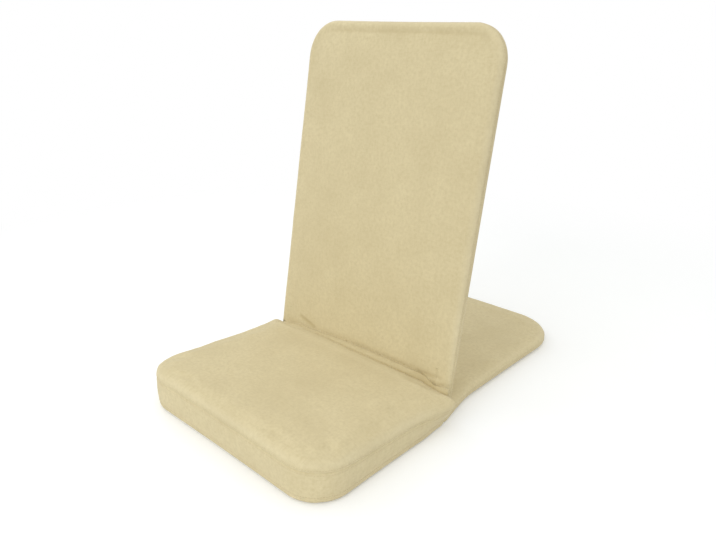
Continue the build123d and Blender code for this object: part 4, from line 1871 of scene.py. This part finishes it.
@dataclass
class CreaseGusset:
    """The soft roll of spare cloth along the crease, with a tongue that closes each plate slot at rest."""

    around: int = 44
    step: float = 0.003
    rear: float = 0.0150
    start: float = 0.0160
    tongue_low: float = -0.0275
    tongue_high: float = 0.0108
    tongue_rear: float = 0.0108
    tongue_gap: float = 0.00005
    fillet: float = 0.0001
    least_height: float = 0.058
    usual_height: float = 0.073
    beside: float = 0.0015
    swing: float = 0.0004
    wave: float = 0.0002
    wave_at_ends: float = 0.0004

    def seat_line(self, across: float, front: float, seat: BVHTree) -> float:
        """Height of the seat's surface under the roll's front.

        Args:
            across: Place along the crease.
            front: How far out the roll reaches.
            seat: The finished seat.

        Returns:
            The height, or a low one where the seat's corner has rounded away.
        """
        y = PIVOT_Y - (front - math.sin(LEAN) * (self.usual_height - PIVOT_Z)) / math.cos(LEAN)
        hit = seat.ray_cast(Vector((across, y, 0.2)), Vector((0, 0, -1)))[0]
        return max(hit.z, self.least_height) if hit else self.least_height

    def profile(self, across: float, seat: BVHTree) -> Array:
        """The closed section of the roll at a place along the crease.

        Args:
            across: Place along the crease, in metres.
            seat: The finished seat.

        Returns:
            Columns out of the back's mid-plane and height above the floor.
        """
        crest, front = crease_at(across, Crease.CREST), crease_at(across, Crease.REACH)
        line = self.seat_line(across, front, seat) - 0.0004
        crest = max(crest, line + 0.0022)
        reach, drop = front - self.start, crest - line
        corners = np.array(
            [
                (self.rear, 0.0520),
                (self.rear, 0.0600),
                (self.rear - 0.0002, crest - 0.0040),
                (self.rear - 0.0032, crest - 0.0020),
                (self.rear - 0.0028, crest - 0.0008),
                (self.start + 0.02 * reach, crest - 0.0002),
                (self.start + 0.30 * reach, crest - 0.03 * drop),
                (self.start + 0.55 * reach, crest - 0.18 * drop),
                (self.start + 0.76 * reach, crest - 0.42 * drop),
                (self.start + 0.92 * reach, crest - 0.72 * drop),
                (self.start + 0.99 * reach, line),
                (self.start + 0.80 * reach, line - 0.0042),
                (0.0175, 0.0530),
            ]
        )
        count = len(corners)
        at = np.linspace(0, count, self.around, endpoint=False)
        base = at.astype(int)
        part = (at - base)[:, None]
        p0, p1, p2, p3 = (corners[(base + shift) % count] for shift in (-1, 0, 1, 2))
        bend = 2 * p0 - 5 * p1 + 4 * p2 - p3
        return 0.5 * (2 * p1 + (p2 - p0) * part + bend * part**2 + (3 * p1 - p0 - 3 * p2 + p3) * part**3)

    def roll(self, seat: BVHTree) -> tuple[Array, list]:
        """Builds the roll's surface.

        Args:
            seat: The finished seat.

        Returns:
            Places and faces.
        """
        first, last = CREASE_KEYS[0][0], CREASE_KEYS[-1][0]
        rows = int((last - first) / self.step)
        points = []
        for across in np.linspace(first, last, rows):
            section = self.profile(across, seat)
            out, height = section[:, 0], section[:, 1]
            y = PIVOT_Y - (out - math.sin(LEAN) * (height - PIVOT_Z)) / math.cos(LEAN)
            points.append(np.column_stack([np.full(self.around, across), y, height]))
        return close_tube(points)

    def tongue(self, sign: int, back: bpy.types.Object) -> tuple[Array, list]:
        """Places and faces of one tongue, flush with the back's face.

        Args:
            sign: 1 on the chair's +X side, -1 on the other.
            back: The finished back.

        Returns:
            Places in the back's axes, and faces.
        """
        tree = search_tree(back)
        outward = lean_out(np.array([[0, 0, 1.0]]))[0] - lean_out(np.zeros((1, 3)))[0]
        low, high = PLATE_NEAR + self.tongue_gap, PLATE_FAR - self.tongue_gap
        rows = []
        for up in np.linspace(self.tongue_low, self.tongue_high, 16):
            found = []
            for across in (PLATE_NEAR - self.beside, PLATE_FAR + self.beside):
                spot = lean_out(np.array([[sign * across, max(up, -0.026), 0.04]]))[0]
                hit = tree.ray_cast(Vector(spot), Vector(-outward))[0]
                found.append(lean_in(np.array([tuple(hit)]))[0, 2])
            face = sum(found) / 2
            rear = self.tongue_rear
            ring = [
                (low, rear + self.fillet), (low + self.fillet, rear), (high - self.fillet, rear),
                (high, rear + self.fillet), (high, face - self.fillet), (high - self.fillet, face),
                (low + self.fillet, face), (low, face - self.fillet),
            ]
            rows.append(np.array([(sign * across, up, out) for across, out in ring]))
        return close_tube(rows)

    def build(self, finishes: Finishes, seat: bpy.types.Object, back: bpy.types.Object) -> bpy.types.Object:
        """Builds the roll and its tongues.

        Args:
            finishes: The chair's finishes.
            seat: The finished seat.
            back: The finished back.

        Returns:
            The roll.
        """
        points, faces = self.roll(search_tree(seat))
        for sign in (-1, 1):
            more, sides = self.tongue(sign, back)
            faces += [tuple(corner + len(points) for corner in face) for face in sides]
            points = np.concatenate([points, lean_out(more)])
        piece = make_piece("crease_gusset", points, faces)
        shape = bmesh.new()
        shape.from_mesh(piece.data)
        bmesh.ops.recalc_face_normals(shape, faces=shape.faces)
        shape.to_mesh(piece.data)
        shape.free()
        layer = piece.data.uv_layers.new(name=CLOTH_UV)
        for face in piece.data.polygons:
            for loop in face.loop_indices:
                corner = points[piece.data.loops[loop].vertex_index]
                layer.data[loop].uv = (corner[0], corner[2] * 1.2 - corner[1])
        subdivide(piece)
        points, normals = read_points(piece.data), read_points(piece.data, "normal")
        local = lean_in(points)
        is_roll = (local[:, 2] > self.start).astype(float)
        flow = points[:, [0, 2]] * [1.0, 0.6]
        seen = smooth(points[:, 2], 0.058, 0.068) * is_roll
        ends = smooth(points[:, 0], 0.17, 0.215) + smooth(-points[:, 0], 0.17, 0.215)
        fine = self.wave + ends * self.wave_at_ends
        lift = seen * (self.swing * ripple(flow, 0.05, 31) + fine * ripple(flow, 0.02, 32))
        points = points + normals * lift[:, None]
        write_points(piece.data, points)
        share = (lean_in(points)[:, 2] - self.start) / (crease_at(points[:, 0], Crease.REACH) - self.start)
        # Painted shade over the roll, more at its back, its front edge and near its +X end; the tongues take the
        # back's painted crease shade.
        dark_seam_and_shade = 0.46 * is_roll + 0.12 * is_roll * smooth(-share, -0.5, 0.0)
        dark_seam_and_shade += 0.3 * is_roll * smooth(points[:, 0], 0.160, 0.190) * smooth(-points[:, 0], -0.224, -0.212)
        dark_seam_and_shade += 0.25 * is_roll * smooth(share, 0.80, 1.0) * (1 - 0.8 * smooth(points[:, 0], 0.14, 0.20))
        dark_seam_and_shade += BackPanel().crease_shade(lean_in(points)) * (1 - is_roll)
        write_mask(piece, DARK_SEAM_AND_SHADE, dark_seam_and_shade)
        write_mask(piece, WEAR_AND_HIGHLIGHT, np.zeros(len(points)))
        dress(piece, finishes.canvas)
        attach(piece, "base")
        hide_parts("hinge_gusset")
        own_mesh(piece)
        return piece


@dataclass
class Hardware:
    """The CAD nodes that stay, and their finishes."""

    finishes: Finishes

    def dress(self) -> None:
        """Puts each node's finish on its own mesh."""
        groups = {
            "coat": (
                "base_tube_front", "base_tube_rear", "base_cross_tube", "back_frame", "back_cross_tube",
                "hinge_plate_left", "hinge_plate_right",
            ),
            "zinc": (
                "base_ferrule_left", "base_ferrule_right", "pivot_bolt_left", "pivot_bolt_right",
                "pivot_washers", "pivot_nuts",
            ),
            "nylon": ("pivot_bush_left", "pivot_bush_right", "back_end_cap_left", "back_end_cap_right"),
            "tape": ("seat_closure_loop", "seat_closure_hook"),
        }
        for finish, nodes in groups.items():
            material = getattr(self.finishes, finish)
            for node in nodes:
                for place in frame["nodes"][node].material_slots:
                    place.material = material
            log.info("%s on %d nodes", finish, len(nodes))


@dataclass(frozen=True)
class Lamp:
    """A soft square lamp that points at the middle of the chair."""

    name: str
    place: tuple
    size: float
    power: float
    tint: tuple = (1.0, 1.0, 0.99)
    aim: tuple = (0.0, 0.0, 0.2)

    def hang(self) -> None:
        """Adds the lamp to the scene."""
        light = bpy.data.lights.new(self.name, "AREA")
        light.size = self.size
        light.energy = self.power
        light.color = self.tint
        lamp = bpy.data.objects.new(self.name, light)
        lamp.location = self.place
        lamp.rotation_euler = (Vector(self.aim) - Vector(self.place)).to_track_quat("-Z", "Y").to_euler()
        bpy.context.scene.collection.objects.link(lamp)


@dataclass
class Studio:
    """Pale floor, soft light and the photograph's camera."""

    lamps: tuple = (
        Lamp("front_lamp", (0.3, -2.8, 1.6), 2.0, 21.5, (1.0, 0.995, 0.985)),
        Lamp("right_front_lamp", (2.6, -1.8, 1.6), 2.0, 11.8, (1.0, 0.995, 0.985)),
        Lamp("left_lamp", (-2.0, 0.2, 1.5), 1.4, 6.6),
        Lamp("left_front_lamp", (-1.3, -1.3, 1.2), 1.2, 3.6),
        Lamp("top_lamp", (0.0, -0.2, 3.0), 2.4, 8.0, (1.0, 1.0, 1.0)),
        Lamp("rear_lamp", (0.6, 2.6, 2.2), 2.0, 5.6),
        Lamp("right_lamp", (2.8, 0.4, 1.2), 2.0, 3.4),
    )
    camera_place: tuple = (0.8699, -0.9849, 0.7410)
    yaw: float = math.radians(43.19)
    pitch: float = math.radians(21.2)
    lens: float = 33.416
    floor_glow: float = 0.13
    far_light: float = 0.38
    sky: float = 0.72
    floor_half: float = 6.0
    floor_z: float = -0.0002
    pale_floor: tuple = ((0.895, 0.910, 0.935, 1), (0.91, 0.925, 0.95, 1))
    fade: tuple = (0.8, 1.7)

    def floor(self) -> None:
        """Lays a pale floor that reads as white and keeps the chair's shadow.

        The floor away from the chair glows, as seen by the camera, so that it fades into the surroundings.
        """
        corners = ((-1, -1), (1, -1), (1, 1), (-1, 1))
        points = np.array([(x * self.floor_half, y * self.floor_half, self.floor_z) for x, y in corners])
        floor = make_piece("studio_floor", points, [(0, 1, 2, 3)])
        material = bpy.data.materials.new("studio_floor")
        material.use_nodes = True
        sheet = NodeSheet(material.node_tree)
        place, seen = sheet.place(), sheet.seen()
        pale = sheet.mix(sheet.noise(place, 3.0, 2.0), *self.pale_floor)
        matte = sheet.add("ShaderNodeBsdfDiffuse", {"Color": pale})
        strength = sheet.math("MULTIPLY", seen, self.floor_glow)
        glow = sheet.add("ShaderNodeEmission", {"Color": WHITE, "Strength": strength})
        near = sheet.add("ShaderNodeAddShader", {0: matte, 1: glow})
        far_strength = sheet.math("ADD", sheet.math("MULTIPLY", seen, 1.0 - self.far_light), self.far_light)
        far = sheet.add("ShaderNodeEmission", {"Color": WHITE, "Strength": far_strength})
        away = sheet.add("ShaderNodeVectorMath", {0: place}, operation="LENGTH").outputs["Value"]
        limits = {0: away, 1: self.fade[0], 2: self.fade[1]}
        share = sheet.add("ShaderNodeMapRange", limits, interpolation_type="SMOOTHSTEP").outputs[0]
        both = sheet.add("ShaderNodeMixShader", {0: share, 1: near, 2: far})
        sheet.add("ShaderNodeOutputMaterial", {"Surface": both})
        floor.data.materials.append(material)

    def world(self) -> None:
        """Sets even pale surroundings that show as white."""
        world = bpy.data.worlds.new("studio_world")
        world.use_nodes = True
        sheet = NodeSheet(world.node_tree)
        around = sheet.add("ShaderNodeBackground", {"Color": (1.0, 1.0, 0.955, 1), "Strength": self.sky})
        white = sheet.add("ShaderNodeBackground", {"Color": WHITE, "Strength": 1.0})
        chosen = sheet.add("ShaderNodeMixShader", {0: sheet.seen(), 1: around, 2: white})
        sheet.add("ShaderNodeOutputWorld", {"Surface": chosen})
        bpy.context.scene.world = world

    def camera(self) -> None:
        """Sets up the photograph's camera."""
        view = bpy.data.cameras.new("photo_camera")
        view.lens = self.lens
        view.sensor_width = 36.0
        view.sensor_fit = "HORIZONTAL"
        camera = bpy.data.objects.new("photo_camera", view)
        camera.location = self.camera_place
        level = math.cos(self.pitch)
        heading = Vector((-math.sin(self.yaw) * level, math.cos(self.yaw) * level, -math.sin(self.pitch)))
        camera.rotation_euler = heading.to_track_quat("-Z", "Y").to_euler()
        bpy.context.scene.collection.objects.link(camera)
        bpy.context.scene.camera = camera

    def build(self) -> None:
        """Sets up the whole studio."""
        self.floor()
        self.world()
        self.camera()
        for lamp in self.lamps:
            lamp.hang()
        bpy.context.scene.view_settings.view_transform = "Standard"


def main() -> None:
    """Builds the dressed chair and its studio."""
    Studio().build()
    finishes = Finishes()
    seamstress = Seamstress(finishes.thread)
    Hardware(finishes).dress()
    pieces = [part.build(finishes, seamstress) for part in (SeatCushion(), RearPanel(), BackPanel())]
    pieces.append(CreaseGusset().build(finishes, pieces[0], pieces[2]))
    for piece in pieces:
        triangles = sum(len(face.vertices) - 2 for face in piece.data.polygons)
        log.info("%s: %d triangles", piece.name, triangles)


if __name__ == "__main__":
    main()
